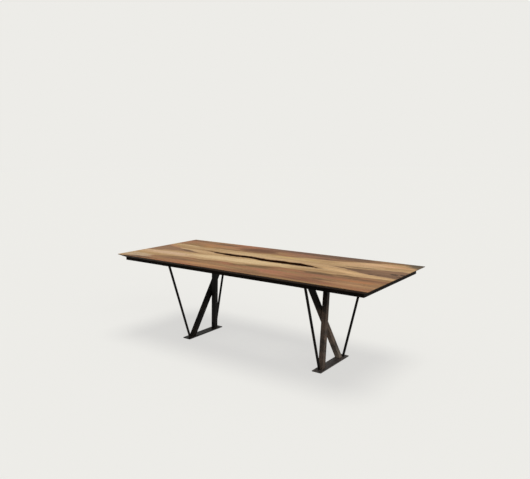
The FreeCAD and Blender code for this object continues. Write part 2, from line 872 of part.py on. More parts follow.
def make_fasteners():
    """The screws of the top and the bolts of the head plates and rod flanges."""
    end, outer, pitch = value("end_screw_row"), value("outer_tube_place"), value("screw_pitch")
    level = value("frame_bottom")
    screw_places = [(x, y, level) for x in (-end, end) for y in (-pitch, 0, pitch)]
    screw_places += [(x, y, level) for x in (-outer, 0, outer) for y in (-pitch, pitch)]

    head_places = []
    flange_places = []
    for side in (-1, 1):
        for across in (-1, 1):
            for along in (-1, 1):
                x = side * (value("head_place") + across * value("head_bolt_half_gauge"))
                y = value("head_reach") + along * value("head_bolt_half_spread")
                head_places.append((x, y, value("head_level")))
        for place, reach in (
            ("front_flange_bolt_place", "-flange_reach"), ("back_flange_bolt_place", "flange_reach"),
        ):
            flange_places.append((side * value(place), value(reach), value("flange_level")))

    return [
        set_apart("top_screws", make_bolt("top_screw", "screw"), screw_places),
        set_apart("head_plate_bolts", make_bolt("head_plate_bolt", "head_bolt"), head_places),
        set_apart("rod_flange_bolts", make_bolt("rod_flange_bolt", "flange_bolt"), flange_places),
    ]


# Checks and export


def check_objects():
    """Stop if any object failed to build."""
    for item in DOC.Objects:
        if "Invalid" in item.State or "Error" in item.State:
            raise RuntimeError("%s failed: %s" % (item.Label, item.State))


def export(pieces):
    """Check each sub-part's shape and write it to its own file."""
    for piece in pieces:
        shape = piece.Shape
        if shape.isNull() or not shape.isValid() or not shape.Solids:
            raise RuntimeError("%s has no valid shape" % piece.Label)
    os.makedirs("parts", exist_ok=True)
    for piece in pieces:
        piece.Shape.exportStep(os.path.join("parts", piece.Label + ".step"))
        print("%-26s %d solids, %.0f mm3" % (piece.Label, len(piece.Shape.Solids), piece.Shape.Volume))


fill_sheet()
PIECES = make_top() + make_frame() + make_pedestals() + make_fasteners()
DOC.recompute()
check_objects()
export(PIECES)
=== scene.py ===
"""Dresses the hickory table's fixed frame with its wood, steel, welds and fasteners.

Every length is in metres and every piece lies in the frame's own coordinates: X runs along
the table, Y across it towards the back, and Z upwards from the floor.
"""

import logging
import math
from dataclasses import asdict, dataclass, field, fields
from enum import Enum

import bmesh
import bpy
from mathutils import Matrix, Vector, noise


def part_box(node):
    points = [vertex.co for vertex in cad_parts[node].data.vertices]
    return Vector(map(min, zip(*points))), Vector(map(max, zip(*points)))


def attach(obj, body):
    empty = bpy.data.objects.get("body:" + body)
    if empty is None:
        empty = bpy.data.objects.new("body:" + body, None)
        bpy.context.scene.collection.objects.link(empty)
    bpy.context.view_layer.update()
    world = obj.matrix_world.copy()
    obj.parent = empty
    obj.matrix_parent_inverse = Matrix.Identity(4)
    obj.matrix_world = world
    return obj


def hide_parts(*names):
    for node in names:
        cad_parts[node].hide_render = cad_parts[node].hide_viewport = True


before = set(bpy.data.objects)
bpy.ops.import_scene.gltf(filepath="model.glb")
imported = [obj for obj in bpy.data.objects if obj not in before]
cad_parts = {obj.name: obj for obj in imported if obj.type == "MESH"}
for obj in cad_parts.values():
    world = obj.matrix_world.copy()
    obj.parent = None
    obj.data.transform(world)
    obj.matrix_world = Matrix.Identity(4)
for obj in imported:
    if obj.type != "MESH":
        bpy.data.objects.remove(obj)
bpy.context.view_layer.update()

LOG = logging.getLogger("table")
MM = 0.001
# Corners closer than this are joined, and those this near to a height lie on its cut.
MERGE, LEVEL = 1e-6, 0.3 * MM
# The least turn that a corner of an outline makes, as the area of its two sides.
STRAIGHT = 1e-12
# How far apart weld ripples are and how deep a thread is cut, as shares of their radius.
RIPPLE_STEP, THREAD_ROOT = 0.95, 0.86
BODY = "root"
SHADER, GEOMETRY_TREE = "ShaderNodeTree", "GeometryNodeTree"
FLOAT, VECTOR, GEOMETRY = "NodeSocketFloat", "NodeSocketVector", "NodeSocketGeometry"
MATERIAL = "NodeSocketMaterial"
Mesh, Node, Socket, Tree = (bpy.types.Mesh, bpy.types.Node, bpy.types.NodeSocket,
                            bpy.types.NodeTree)
Colour = tuple[float, float, float, float]
Point = tuple[float, float, float]
Line = list[tuple[float, float]]
Paths = list[list[Point]]
Coat = tuple[Socket, Socket, Socket]


def srgb(red: float, green: float, blue: float) -> Colour:
    """Turns a screen's colour, with parts from 0 to 255, into the linear one of shaders."""
    parts = [v / 255 for v in (red, green, blue)]
    return (*(v / 12.92 if v <= 0.04045 else ((v + 0.055) / 1.055) ** 2.4 for v in parts), 1.0)


class Side(Enum):
    """The table's two ends."""

    LEFT = "left"
    RIGHT = "right"


class Slot(Enum):
    """The record's material slots, named for the kinds of new piece."""

    TOP_WOOD = "top_wood"
    STEEL = "blackened_steel"
    FASTENERS = "black_fasteners"


# Wiring nodes


def cleared(owner: bpy.types.Material | bpy.types.World) -> Tree:
    """Gives a material or a world an empty node tree.

    Args:
        owner: The material or the world.

    Returns:
        Its tree.
    """
    owner.use_nodes = True
    owner.node_tree.nodes.clear()
    return owner.node_tree


class Web:
    """A node tree with short ways to add nodes."""

    def __init__(self, tree: Tree) -> None:
        """Keeps the tree that the nodes go in."""
        self.tree = tree

    def add(self, kind: str, inputs: dict | None = None, **settings: object) -> Node:
        """Adds one node.

        Args:
            kind: The node's type name.
            inputs: Values, or sockets to link from, by input name or number.
            settings: Properties of the node, set before its inputs.

        Returns:
            The new node.
        """
        node = self.tree.nodes.new(kind)
        for name, value in settings.items():
            setattr(node, name, value)
        for key, value in (inputs or {}).items():
            if isinstance(value, Socket):
                self.tree.links.new(value, node.inputs[key])
            else:
                node.inputs[key].default_value = value
        return node

    def out(self, kind: str, inputs: dict | None = None, **settings: object) -> Socket:
        """Adds one node and returns its first output."""
        return self.add(kind, inputs, **settings).outputs[0]

    def math(self, operation: str, *values: object, clamp: bool = False) -> Socket:
        """Adds a Math node and returns its result."""
        return self.out("ShaderNodeMath", dict(enumerate(values)), operation=operation,
                        use_clamp=clamp)

    def times(self, first: object, second: object) -> Socket:
        """Multiplies two values."""
        return self.math("MULTIPLY", first, second)

    def minus(self, first: object, second: object) -> Socket:
        """Takes the second value from the first."""
        return self.math("SUBTRACT", first, second)

    def ramp(self, value: object, slope: object, start: object) -> Socket:
        """Multiplies a value by the slope and adds the start."""
        return self.math("MULTIPLY_ADD", value, slope, start)

    def axes(self, vector: object) -> bpy.types.bpy_prop_collection:
        """Splits a vector into its X, Y and Z."""
        return self.add("ShaderNodeSeparateXYZ", {0: vector}).outputs

    def stretch(self, vector: object, scales: Point) -> Socket:
        """Multiplies each axis of a vector by its own scale."""
        return self.out("ShaderNodeVectorMath", {0: vector, 1: scales}, operation="MULTIPLY")

    def mix(self, share: object, first: object, second: object) -> Socket:
        """Mixes a share of the second colour into the first."""
        return self.add("ShaderNodeMix", {0: share, 6: first, 7: second},
                        data_type="RGBA").outputs[2]

    def blend(self, share: object, first: Socket, second: Socket) -> Socket:
        """Mixes a share of the second shader into the first."""
        return self.out("ShaderNodeMixShader", {0: share, 1: first, 2: second})

    def noise(self, vector: object, scale: object, detail: float = 2.0, roughness: float = 0.5,
              distortion: float = 0.0) -> Socket:
        """Adds a noise texture.

        Args:
            vector: Where it is read.
            scale: Its scale, or one scale for each axis.
            detail: How many finer layers it has.
            roughness: How strong the finer layers are.
            distortion: How far it is bent by itself.

        Returns:
            Its value from 0 to 1, about 0.5 in the mean.
        """
        if isinstance(scale, tuple):
            vector, scale = self.stretch(vector, scale), 1.0
        return self.out("ShaderNodeTexNoise", {
            "Vector": vector, "Scale": scale, "Detail": detail, "Roughness": roughness,
            "Distortion": distortion})

    def smooth(self, value: object, low: object, high: object, start: object = 0.0,
               end: object = 1.0) -> Socket:
        """Goes softly from start, where the value is low, to end, where it is high."""
        return self.out("ShaderNodeMapRange", {
            "Value": value, "From Min": low, "From Max": high, "To Min": start, "To Max": end},
            interpolation_type="SMOOTHSTEP")

    def curve(self, value: object, points: Line) -> Socket:
        """Adds a Float Curve through points that run from 0 to 1 both ways.

        Args:
            value: Where the curve is read.
            points: The curve's points, from left to right.

        Returns:
            The curve's height there.
        """
        node = self.add("ShaderNodeFloatCurve", {"Value": value})
        made = node.mapping.curves[0].points
        made[0].location, made[1].location = points[0], points[-1]
        for x, y in points[1:-1]:
            made.new(x, y)
        node.mapping.update()
        return node.outputs[0]

    def use(self, group: Tree, **inputs: object) -> tuple[Socket, ...]:
        """Places a shader group, with _ for a space in its inputs' names."""
        named = {name.replace("_", " "): value for name, value in inputs.items()}
        return tuple(self.add("ShaderNodeGroup", named, node_tree=group).outputs)

    def give(self, *values: Socket) -> Tree:
        """Feeds a group's outputs in their order and returns its tree."""
        self.add("NodeGroupOutput", dict(enumerate(values)))
        return self.tree

    def strew(self, points: Socket, shape: Socket, finish: Socket, **turned: Socket) -> Socket:
        """Sets real copies of a shape on points.

        Args:
            points: Where the copies go.
            shape: What is copied.
            finish: The copies' material.
            turned: Their Rotation and Scale, if they have any.

        Returns:
            The dressed copies.
        """
        laid = self.out("GeometryNodeInstanceOnPoints", {
            "Points": points, "Instance": shape, **turned})
        real = self.out("GeometryNodeRealizeInstances", {0: laid})
        return self.out("GeometryNodeSetMaterial", {"Geometry": real, "Material": finish})


def new_group(name: str, kind: str, inputs: dict[str, float | str], *outputs: str) -> tuple:
    """Makes an empty node group with named sockets.

    Args:
        name: The group's name.
        kind: SHADER or GEOMETRY_TREE.
        inputs: Each number's first value, and the socket type of each other input.
        outputs: The names of the outputs: numbers in a shader group, else geometry.

    Returns:
        The web of the group and the sockets of its inputs.
    """
    tree = bpy.data.node_groups.new(name, kind)
    for label, value in inputs.items():
        number = isinstance(value, float)
        made = tree.interface.new_socket(label, in_out="INPUT",
                                         socket_type=FLOAT if number else value)
        if number:
            made.default_value = value
    for label in outputs:
        tree.interface.new_socket(label, in_out="OUTPUT",
                                  socket_type=FLOAT if kind == SHADER else GEOMETRY)
    web = Web(tree)
    return web, web.add("NodeGroupInput").outputs


class Effects:
    """The shader groups that several finishes share, each built once."""

    def __init__(self) -> None:
        """Builds every group."""
        self.grain = self.build_grain()
        self.blotch = self.build_blotch()
        self.worn_edge = self.build_worn_edge()
        self.streak = self.build_streak()

    @staticmethod
    def build_grain() -> Tree:
        """Builds wood grain that runs along X.

        Returns:
            The group's tree, which gives tone, growth rings, fibres and pores.
        """
        web, take = new_group("long_grain", SHADER, {
            "Vector": VECTOR, "Ring Density": 80.0, "Ring Wander": 12.0},
            "Tone", "Rings", "Fibre", "Pores")
        spot = take["Vector"]
        tone = web.noise(spot, (1.1, 11.0, 11.0), 6.0, 0.62, 0.35)
        wander = web.noise(spot, (0.8, 2.3, 2.3), 2.5)
        axes = web.axes(spot)
        across = web.ramp(axes["Z"], 0.6, axes["Y"])
        turns = web.ramp(wander, take["Ring Wander"], web.times(across, take["Ring Density"]))
        wave = web.math("SINE", web.times(turns, math.tau))
        rings = web.math("POWER", web.ramp(wave, 0.5, 0.5), 2.6)
        fibre = web.noise(spot, (7.0, 340.0, 340.0), 3.0, 0.62)
        vessels = web.noise(spot, (42.0, 950.0, 950.0), 1.0)
        return web.give(tone, rings, fibre, web.smooth(vessels, 0.60, 0.72))

    @staticmethod
    def build_blotch() -> Tree:
        """Builds soft blotches, as patina, dust and stains have.

        Returns:
            The group's tree, which gives a mask and finer specks.
        """
        web, take = new_group("soft_blotch", SHADER, {
            "Vector": VECTOR, "Scale": 5.0, "Low": 0.4, "High": 0.6}, "Mask", "Speck")
        cloud = web.noise(take["Vector"], take["Scale"], 5.0, 0.58, 0.4)
        fine = web.noise(take["Vector"], web.times(take["Scale"], 23.0), 3.0, 0.6)
        return web.give(web.smooth(cloud, take["Low"], take["High"]), fine)

    @staticmethod
    def build_worn_edge() -> Tree:
        """Builds a mask that is strong on outer edges and broken up along them.

        Returns:
            The group's tree.
        """
        web, take = new_group("worn_edge", SHADER, {
            "Vector": VECTOR, "Radius": 0.002, "Breakup": 60.0}, "Mask")
        rounded = web.out("ShaderNodeBevel", {"Radius": take["Radius"]}, samples=6)
        flat = web.add("ShaderNodeNewGeometry").outputs["True Normal"]
        turned = web.add("ShaderNodeVectorMath", {0: rounded, 1: flat}, operation="DOT_PRODUCT")
        edge = web.smooth(turned.outputs["Value"], 0.995, 0.86)
        broken = web.smooth(web.noise(take["Vector"], take["Breakup"], 4.0), 0.38, 0.62)
        return web.give(web.times(edge, broken))

    @staticmethod
    def build_streak() -> Tree:
        """Builds one lens-shaped streak between two points on the table's plan.

        Returns:
            The group's tree, which gives the streak's mask.
        """
        web, take = new_group("figure_streak", SHADER, {
            "Across": 0.0, "Along": 0.0, "Start X": 0.0, "Start Y": 0.0, "End X": 1.0,
            "End Y": 0.0, "Half Width": 0.01, "Feather": 0.0}, "Mask")
        run = web.minus(take["End X"], take["Start X"])
        share = web.math("DIVIDE", web.minus(take["Along"], take["Start X"]), run)
        rise = web.minus(take["End Y"], take["Start Y"])
        middle = web.ramp(share, rise, take["Start Y"])
        off = web.math("DIVIDE", web.minus(take["Across"], middle), take["Half Width"])
        end = web.ramp(share, 2.0, -1.0)
        reach = web.math("ADD", web.times(off, off), web.times(end, end))
        return web.give(web.smooth(web.math("ADD", reach, take["Feather"]), 1.0, 0.25))


class Surface(Web):
    """One material's nodes, with its object coordinates and the shared groups."""

    def __init__(self, made: bpy.types.Material, effects: Effects) -> None:
        """Empties the material and adds its coordinates.

        Args:
            made: The material.
            effects: The shared shader groups.
        """
        super().__init__(cleared(made))
        self.effects = effects
        self.where = self.add("ShaderNodeTexCoord").outputs["Object"]

    def grain(self, density: float, wander: float) -> tuple[Socket, ...]:
        """Places the grain and returns its tone, rings, fibre and pores."""
        return self.use(self.effects.grain, Vector=self.where, Ring_Density=density,
                        Ring_Wander=wander)

    def blotch(self, scale: float, low: float, high: float,
               scales: Point | None = None) -> tuple[Socket, ...]:
        """Places soft blotches, stretched by scales, and returns their mask and specks."""
        where = self.stretch(self.where, scales) if scales else self.where
        return self.use(self.effects.blotch, Vector=where, Scale=scale, Low=low, High=high)


# Finishes


@dataclass(frozen=True)
class Finish:
    """What every finish has: a name, its gloss and relief, and a material built once."""

    name: str
    lustre: float = 0.1
    bump: float = 0.35
    relief: float = 0.4 * MM

    def material(self, effects: Effects) -> bpy.types.Material:
        """Returns the finish's material, and builds it first if need be.

        Args:
            effects: The shared shader groups.

        Returns:
            The material.
        """
        found = bpy.data.materials.get(self.name)
        if found:
            return found
        made = bpy.data.materials.new(self.name)
        web = Surface(made, effects)
        colour, rough, height = self.dress(web)
        bump = web.out("ShaderNodeBump", {
            "Strength": self.bump, "Distance": self.relief, "Height": height})
        shader = web.out("ShaderNodeBsdfPrincipled", {
            "Base Color": colour, "Roughness": rough, "Specular IOR Level": self.lustre,
            "Normal": bump})
        web.add("ShaderNodeOutputMaterial", {"Surface": shader})
        return made

    def dress(self, web: Surface) -> Coat:
        """Wires the finish and returns its colour, its roughness and its bumps' height."""
        raise NotImplementedError


@dataclass(frozen=True)
class Streak:
    """One streak in the wood's figure, from one point on the plan to another."""

    start_x: float
    start_y: float
    end_x: float
    end_y: float
    half_width: float
    screen_colour: Point
    strength: float


@dataclass(frozen=True)
class TopWood(Finish):
    """Oiled two-tone boards: pale sapwood between brown heartwood bands."""

    length: float = 2.4
    reach: float = 1.3
    slow_sway: float = 0.05
    quick_sway: float = 0.026
    sap: Colour = srgb(196, 160, 116)
    sap_gold: Colour = srgb(172, 138, 92)
    sap_pale: Colour = srgb(220, 190, 148)
    sap_dark: Colour = srgb(152, 114, 74)
    heart: Colour = srgb(150, 114, 76)
    heart_red: Colour = srgb(160, 106, 74)
    heart_tan: Colour = srgb(178, 142, 96)
    heart_dark: Colour = srgb(88, 62, 44)
    olive: Colour = srgb(104, 80, 46)
    tongue: Colour = srgb(98, 70, 52)
    brown_end: Colour = srgb(134, 100, 74)
    bark: Colour = srgb(50, 27, 12)
    halo: Colour = srgb(140, 98, 52)
    knot: Colour = srgb(38, 24, 16)
    # Painted shade: the colours laid on the underside and on the sloped and upright sides of the
    # boards, which turn away from the light.
    painted_underside_shade: Colour = srgb(34, 21, 12)
    painted_side_shade: Colour = srgb(47, 32, 20)
    tip: Colour = srgb(66, 59, 46)

    # Lines on the plan: where the heartwood begins, the tongue, the wedge and the crack.
    back_line: tuple = (
        (-1.2, 0.215), (-1.0, 0.225), (-0.8, 0.204), (-0.62, 0.212), (-0.5, 0.205),
        (-0.35, 0.216), (-0.23, 0.222), (-0.095, 0.262), (0.013, 0.25), (0.098, 0.246),
        (0.246, 0.27), (0.376, 0.288), (0.473, 0.298), (0.6, 0.31), (0.7, 0.355), (0.8, 0.386),
        (1.0, 0.43), (1.2, 0.47))
    front_line: tuple = (
        (-1.2, -0.54), (-1.05, -0.45), (-0.92, -0.368), (-0.8, -0.318), (-0.692, -0.285),
        (-0.55, -0.262), (-0.409, -0.282), (-0.28, -0.252), (-0.172, -0.24), (0.002, -0.27),
        (0.111, -0.226), (0.26, -0.17), (0.387, -0.168), (0.529, -0.165),
        (0.659, -0.158), (0.8, -0.145), (0.95, -0.132), (1.1, -0.115), (1.2, -0.11))
    tongue_top: tuple = (
        (-1.2, 0.1), (0.5, 0.1), (0.6, 0.106), (0.7, 0.11), (0.8, 0.122), (0.9, 0.145),
        (1.0, 0.172), (1.1, 0.192), (1.2, 0.2))
    tongue_foot: tuple = (
        (-1.2, 0.1), (0.5, 0.1), (0.6, 0.092), (0.7, 0.074), (0.8, 0.036), (0.9, -0.008),
        (1.0, -0.044), (1.1, -0.068), (1.2, -0.078))
    wedge_top: tuple = (
        (-1.2, 0.17), (-1.126, 0.125), (-1.0, 0.07), (-0.906, 0.03), (-0.79, 0.016),
        (-0.72, -0.02), (-0.65, -0.066), (-0.5, -0.076), (1.2, -0.076))
    wedge_foot: tuple = (
        (-1.2, -0.17), (-1.054, -0.126), (-0.884, -0.086), (-0.76, -0.082), (-0.65, -0.076),
        (-0.5, -0.076), (1.2, -0.076))
    crack_back: tuple = ()
    crack_front: tuple = ()
    streaks: tuple = tuple(Streak(*row) for row in (
        (-0.85, -0.15, 0.5, -0.1, 0.10, (223, 193, 146), 1.0),
        (-0.6, 0.115, 0.55, 0.16, 0.07, (216, 185, 139), 0.9),
        (-0.1, 0.2, 0.5, 0.22, 0.03, (206, 178, 112), 0.72),
        (0.5, 0.03, 0.95, -0.06, 0.045, (218, 178, 128), 0.9),
        (0.55, 0.25, 1.14, 0.34, 0.09, (222, 180, 138), 1.0),
        (-1.3, -0.19, -0.55, -0.2, 0.08, (218, 184, 150), 1.0),
        (-1.3, -0.42, -0.85, -0.4, 0.08, (194, 170, 138), 0.9),
        (0.62, -0.02, 1.36, -0.11, 0.045, (222, 182, 134), 1.0),
        (0.56, 0.112, 0.95, 0.07, 0.022, (98, 74, 48), 1.0),
        (0.62, 0.128, 1.05, 0.20, 0.014, (92, 66, 44), 0.84),
        (-0.98, 0.02, -0.62, -0.07, 0.026, (100, 74, 50), 1.0),
        (-1.2, -0.16, -0.9, -0.1, 0.018, (112, 82, 60), 0.72),
        (-1.25, 0.17, -0.95, 0.05, 0.035, (188, 132, 98), 0.78),
        (-1.2, 0.29, -0.7, 0.24, 0.035, (142, 108, 62), 0.78),
        (-0.86, 0.235, -0.7, 0.225, 0.03, (184, 128, 66), 1.0),
        (-1.0, 0.33, -0.5, 0.33, 0.05, (180, 124, 80), 0.72),
        (-0.52, 0.33, -0.02, 0.33, 0.09, (98, 62, 38), 1.0),
        (-0.42, 0.45, 0.9, 0.45, 0.08, (102, 76, 60), 0.96),
        (0.0, 0.35, 0.62, 0.34, 0.055, (140, 100, 76), 0.96),
        (0.3, 0.325, 0.62, 0.32, 0.03, (104, 72, 54), 0.9),
        (-0.6, 0.23, -0.1, 0.25, 0.022, (122, 94, 52), 0.84),
        (0.9, 0.37, 1.2, 0.33, 0.04, (206, 150, 108), 0.72),
        (-0.12, -0.28, 0.32, -0.2, 0.05, (96, 74, 38), 1.0),
        (-0.52, -0.30, -0.2, -0.28, 0.02, (116, 90, 50), 0.84),
        (0.48, -0.19, 0.82, -0.185, 0.045, (92, 68, 44), 1.0),
        (0.76, -0.15, 1.0, -0.17, 0.035, (96, 74, 46), 1.0),
        (0.1, -0.34, 0.62, -0.32, 0.04, (180, 112, 88), 0.9),
        (0.24, -0.38, 0.5, -0.385, 0.02, (188, 118, 94), 0.84),
        (0.5, -0.27, 0.95, -0.26, 0.03, (152, 98, 74), 0.72),
        (0.45, -0.44, 0.95, -0.42, 0.05, (112, 72, 50), 0.9),
        (-0.62, -0.42, 0.0, -0.40, 0.045, (186, 138, 92), 0.84),
        (-0.85, -0.33, -0.35, -0.36, 0.03, (122, 92, 60), 0.72),
        (-0.1, -0.46, 0.5, -0.45, 0.03, (128, 88, 58), 0.84),
        (0.75, -0.36, 1.3, -0.38, 0.07, (190, 144, 102), 0.72),
        (0.8, -0.3, 1.2, -0.27, 0.03, (184, 118, 76), 0.72),
        (0.54, -0.021, 0.61, -0.029, 0.006, (66, 40, 20), 0.96),
        (-0.74, 0.07, -0.63, 0.068, 0.008, (72, 46, 26), 1.0),
    ))
    # The X, Y, half length and half width of each knot.
    knots: tuple = ((1.13, 0.071, 0.036, 0.018), (1.195, 0.085, 0.03, 0.018),
                    (1.185, 0.02, 0.03, 0.012), (0.98, -0.008, 0.024, 0.011),
                    (1.05, -0.02, 0.018, 0.009), (0.78, 0.03, 0.014, 0.007))

    def dress(self, web: Surface) -> Coat:
        """Wires the figure, the grain and the finish of the oiled boards.

        Args:
            web: The material's nodes.

        Returns:
            The colour, the roughness and the bumps' height.
        """
        figure = Figure(self, web)
        figure.lay_woods()
        figure.lay_streaks()
        figure.lay_crack()
        return figure.lay_pores()


class Figure:
    """The figure of the oiled boards, laid in coats over the plain sapwood."""

    def __init__(self, wood: TopWood, web: Surface) -> None:
        """Wires the swaying coordinates and the grain.

        Args:
            wood: The finish, with its colours and its plan.
            web: The material's nodes.
        """
        self.wood, self.web, self.colour = wood, web, wood.sap
        axes = web.axes(web.where)
        self.x, self.y = axes["X"], axes["Y"]
        self.along = web.math("MULTIPLY_ADD", self.x, 1 / wood.length, 0.5, clamp=True)
        slow = web.noise(web.where, (2.6, 6.0, 6.0), 3.0, 0.55)
        self.quick = web.noise(web.where, (10.0, 40.0, 40.0), 3.0, 0.6)
        across = web.ramp(slow, wood.slow_sway, web.minus(self.y, wood.slow_sway / 2))
        self.across = web.ramp(self.quick, wood.quick_sway,
                               web.minus(across, wood.quick_sway / 2))
        self.tone, self.rings, self.fibre, self.pores = web.grain(70.0, 11.0)
        self.bands = web.noise(web.where, (1.5, 34.0, 34.0), 4.0, 0.6, 0.3)

    def lay(self, share: object, colour: object, strength: object = None) -> None:
        """Lays a share of a colour, times its strength if it has one, over what is there."""
        share = share if strength is None else self.web.times(share, strength)
        self.colour = self.web.mix(share, self.colour, colour)

    def line(self, points: tuple) -> Socket:
        """Reads the Y of a line on the plan."""
        reach = self.wood.reach
        return self.web.ramp(self.web.curve(self.along, [
            (x / self.wood.length + 0.5, y / reach + 0.5) for x, y in points]), reach, -reach / 2)

    def between(self, top: tuple, foot: tuple, soft: float) -> Socket:
        """Masks the wood between two lines on the plan.

        Args:
            top: The line behind.
            foot: The line in front.
            soft: How wide the mask's soft rim is.

        Returns:
            The mask.
        """
        above = self.web.minus(self.line(top), self.across)
        below = self.web.minus(self.across, self.line(foot))
        return self.web.smooth(self.web.math("MINIMUM", above, below), 0.0, soft)

    def lens(self, start: tuple, end: tuple, half_width: float, feather: Socket) -> Socket:
        """Masks a streak between two points on the plan, frayed by the feather."""
        return self.web.use(
            self.web.effects.streak, Across=self.across, Along=self.x, Start_X=start[0],
            Start_Y=start[1], End_X=end[0], End_Y=end[1], Half_Width=half_width,
            Feather=feather)[0]

    def lay_woods(self) -> None:
        """Lays sapwood, heartwood, the brown tongue and the wedge."""
        web, wood = self.web, self.wood
        self.lay(web.smooth(self.tone, 0.40, 0.60), wood.sap_gold)
        self.lay(web.smooth(self.tone, 0.56, 0.72), wood.sap_pale)
        self.lay(web.smooth(self.bands, 0.48, 0.32, 0.0, 0.75), wood.sap_dark)
        self.lay(web.smooth(self.bands, 0.54, 0.68, 0.0, 0.7), wood.sap_pale)

        patches, _ = web.blotch(1.5, 0.42, 0.62, (1.0, 5.0, 5.0))
        heart = web.mix(patches, wood.heart, wood.heart_red)
        heart = web.mix(web.smooth(self.tone, 0.52, 0.36), heart, wood.heart_dark)
        heart = web.mix(web.smooth(self.bands, 0.53, 0.70, 0.0, 0.8), heart, wood.heart_tan)
        back = web.minus(self.across, self.line(wood.back_line))
        front = web.minus(self.line(wood.front_line), self.across)
        inside = web.math("MAXIMUM", back, front)
        self.lay(web.smooth(inside, -0.006, 0.009), heart)
        rim = web.smooth(web.math("ABSOLUTE", web.minus(inside, 0.012)), 0.018, 0.0)
        self.lay(rim, wood.olive, web.smooth(self.quick, 0.4, 0.6, 0.1, 0.6))

        browned = web.mix(web.smooth(self.tone, 0.4, 0.62), wood.tongue, wood.brown_end)
        self.lay(self.between(wood.tongue_top, wood.tongue_foot, 0.014), browned, 0.92)
        self.lay(self.between(wood.wedge_top, wood.wedge_foot, 0.03), wood.brown_end, 0.9)

    def lay_streaks(self) -> None:
        """Lays the streaks, the knots and the dark right corner."""
        web, wood = self.web, self.wood
        broken = web.smooth(self.bands, 0.36, 0.58, 0.35, 1.0)
        strands = web.noise(web.where, (2.4, 60.0, 60.0), 4.0, 0.7)
        feather = web.ramp(strands, 3.2, -1.6)
        for streak in wood.streaks:
            mask = self.lens((streak.start_x, streak.start_y), (streak.end_x, streak.end_y),
                             streak.half_width, feather)
            self.lay(web.times(mask, broken), srgb(*streak.screen_colour), streak.strength)
        finer = web.times(feather, 0.4)
        for x, y, half_length, half_width in wood.knots:
            mask = self.lens((x - half_length, y), (x + half_length, y), half_width, finer)
            self.lay(web.smooth(mask, 0.05, 0.55), wood.knot)

        leaning = web.ramp(self.x, 0.6, self.across)
        corner = web.times(web.smooth(self.x, 1.03, 1.14), web.smooth(leaning, 1.03, 1.10))
        self.lay(corner, wood.tip, web.smooth(self.bands, 0.30, 0.56, 0.75, 0.95))

    def lay_crack(self) -> None:
        """Lays the ragged bark rim and the warm wood along the crack."""
        web, wood = self.web, self.wood
        outside = web.math("MAXIMUM", web.minus(self.y, self.line(wood.crack_back)),
                           web.minus(self.line(wood.crack_front), self.y))
        ends = web.times(web.smooth(self.x, -0.68, -0.63), web.smooth(self.x, 0.60, 0.54))
        ragged = web.noise(web.where, (24.0, 30.0, 30.0), 3.0, 0.6)
        reach = web.smooth(ragged, 0.36, 0.66, 0.001, 0.020)
        fringe = web.smooth(web.minus(outside, reach), 0.003, -0.004)
        self.lay(web.times(fringe, ends), wood.bark, 0.95)
        self.lay(web.times(ends, web.smooth(outside, 0.035, 0.004)), wood.halo, 0.3)

    def lay_pores(self) -> Coat:
        """Lays the grain, darkens the end grain, and paints shade on the sides and the underside.

        Returns:
            The colour, the roughness and the bumps' height.
        """
        web, wood = self.web, self.wood
        self.lay(self.rings, wood.heart_dark, 0.22)
        self.lay(web.smooth(self.fibre, 0.56, 0.30, 0.0, 0.30), wood.heart_dark)
        self.lay(self.pores, wood.bark, 0.5)
        facing = web.axes(web.add("ShaderNodeNewGeometry").outputs["Normal"])
        end_grain = web.smooth(web.math("ABSOLUTE", facing["X"]), 0.2, 0.6)
        self.lay(end_grain, wood.heart_dark, 0.45)
        # Painted shade on the sides and, darker, on the underside, by the way each face turns.
        self.lay(web.smooth(facing["Z"], 0.5, 0.1), wood.painted_side_shade, 0.8)
        self.lay(web.smooth(facing["Z"], -0.2, -0.6), wood.painted_underside_shade, 0.88)
        rough = web.ramp(self.pores, 0.2, web.ramp(self.fibre, 0.14, 0.56))
        height = web.ramp(self.pores, -1.2, web.ramp(self.rings, 0.25, self.fibre))
        return self.colour, rough, height


@dataclass(frozen=True)
class PlainWood(Finish):
    """Unoiled pale wood, as the hidden tenons have."""

    lustre: float = 0.2
    bump: float = 0.3
    relief: float = 0.3 * MM
    pale: Colour = srgb(196, 166, 122)
    dark: Colour = srgb(160, 126, 86)

    def dress(self, web: Surface) -> Coat:
        """Wires plain straight grain."""
        tone, rings, fibre, _ = web.grain(160.0, 3.0)
        return (web.mix(web.times(rings, 0.35),
                        web.mix(web.smooth(tone, 0.4, 0.65), self.pale, self.dark), self.dark),
                web.ramp(fibre, 0.2, 0.6), fibre)


@dataclass(frozen=True)
class Bark(Finish):
    """The dark bark and weathered wood inside the crack."""

    lustre: float = 0.04
    bump: float = 0.6
    relief: float = 1.2 * MM
    deep: Colour = srgb(32, 14, 4)
    ridge: Colour = srgb(66, 34, 12)
    dust: Colour = srgb(90, 56, 27)

    def dress(self, web: Surface) -> Coat:
        """Wires fissured bark."""
        plates, speck = web.blotch(70.0, 0.42, 0.66, (0.45, 1.0, 1.0))
        return (web.mix(web.smooth(speck, 0.6, 0.75, 0.0, 0.5),
                        web.mix(plates, self.deep, self.ridge), self.dust),
                web.ramp(speck, 0.15, 0.75), web.ramp(speck, 0.4, plates))


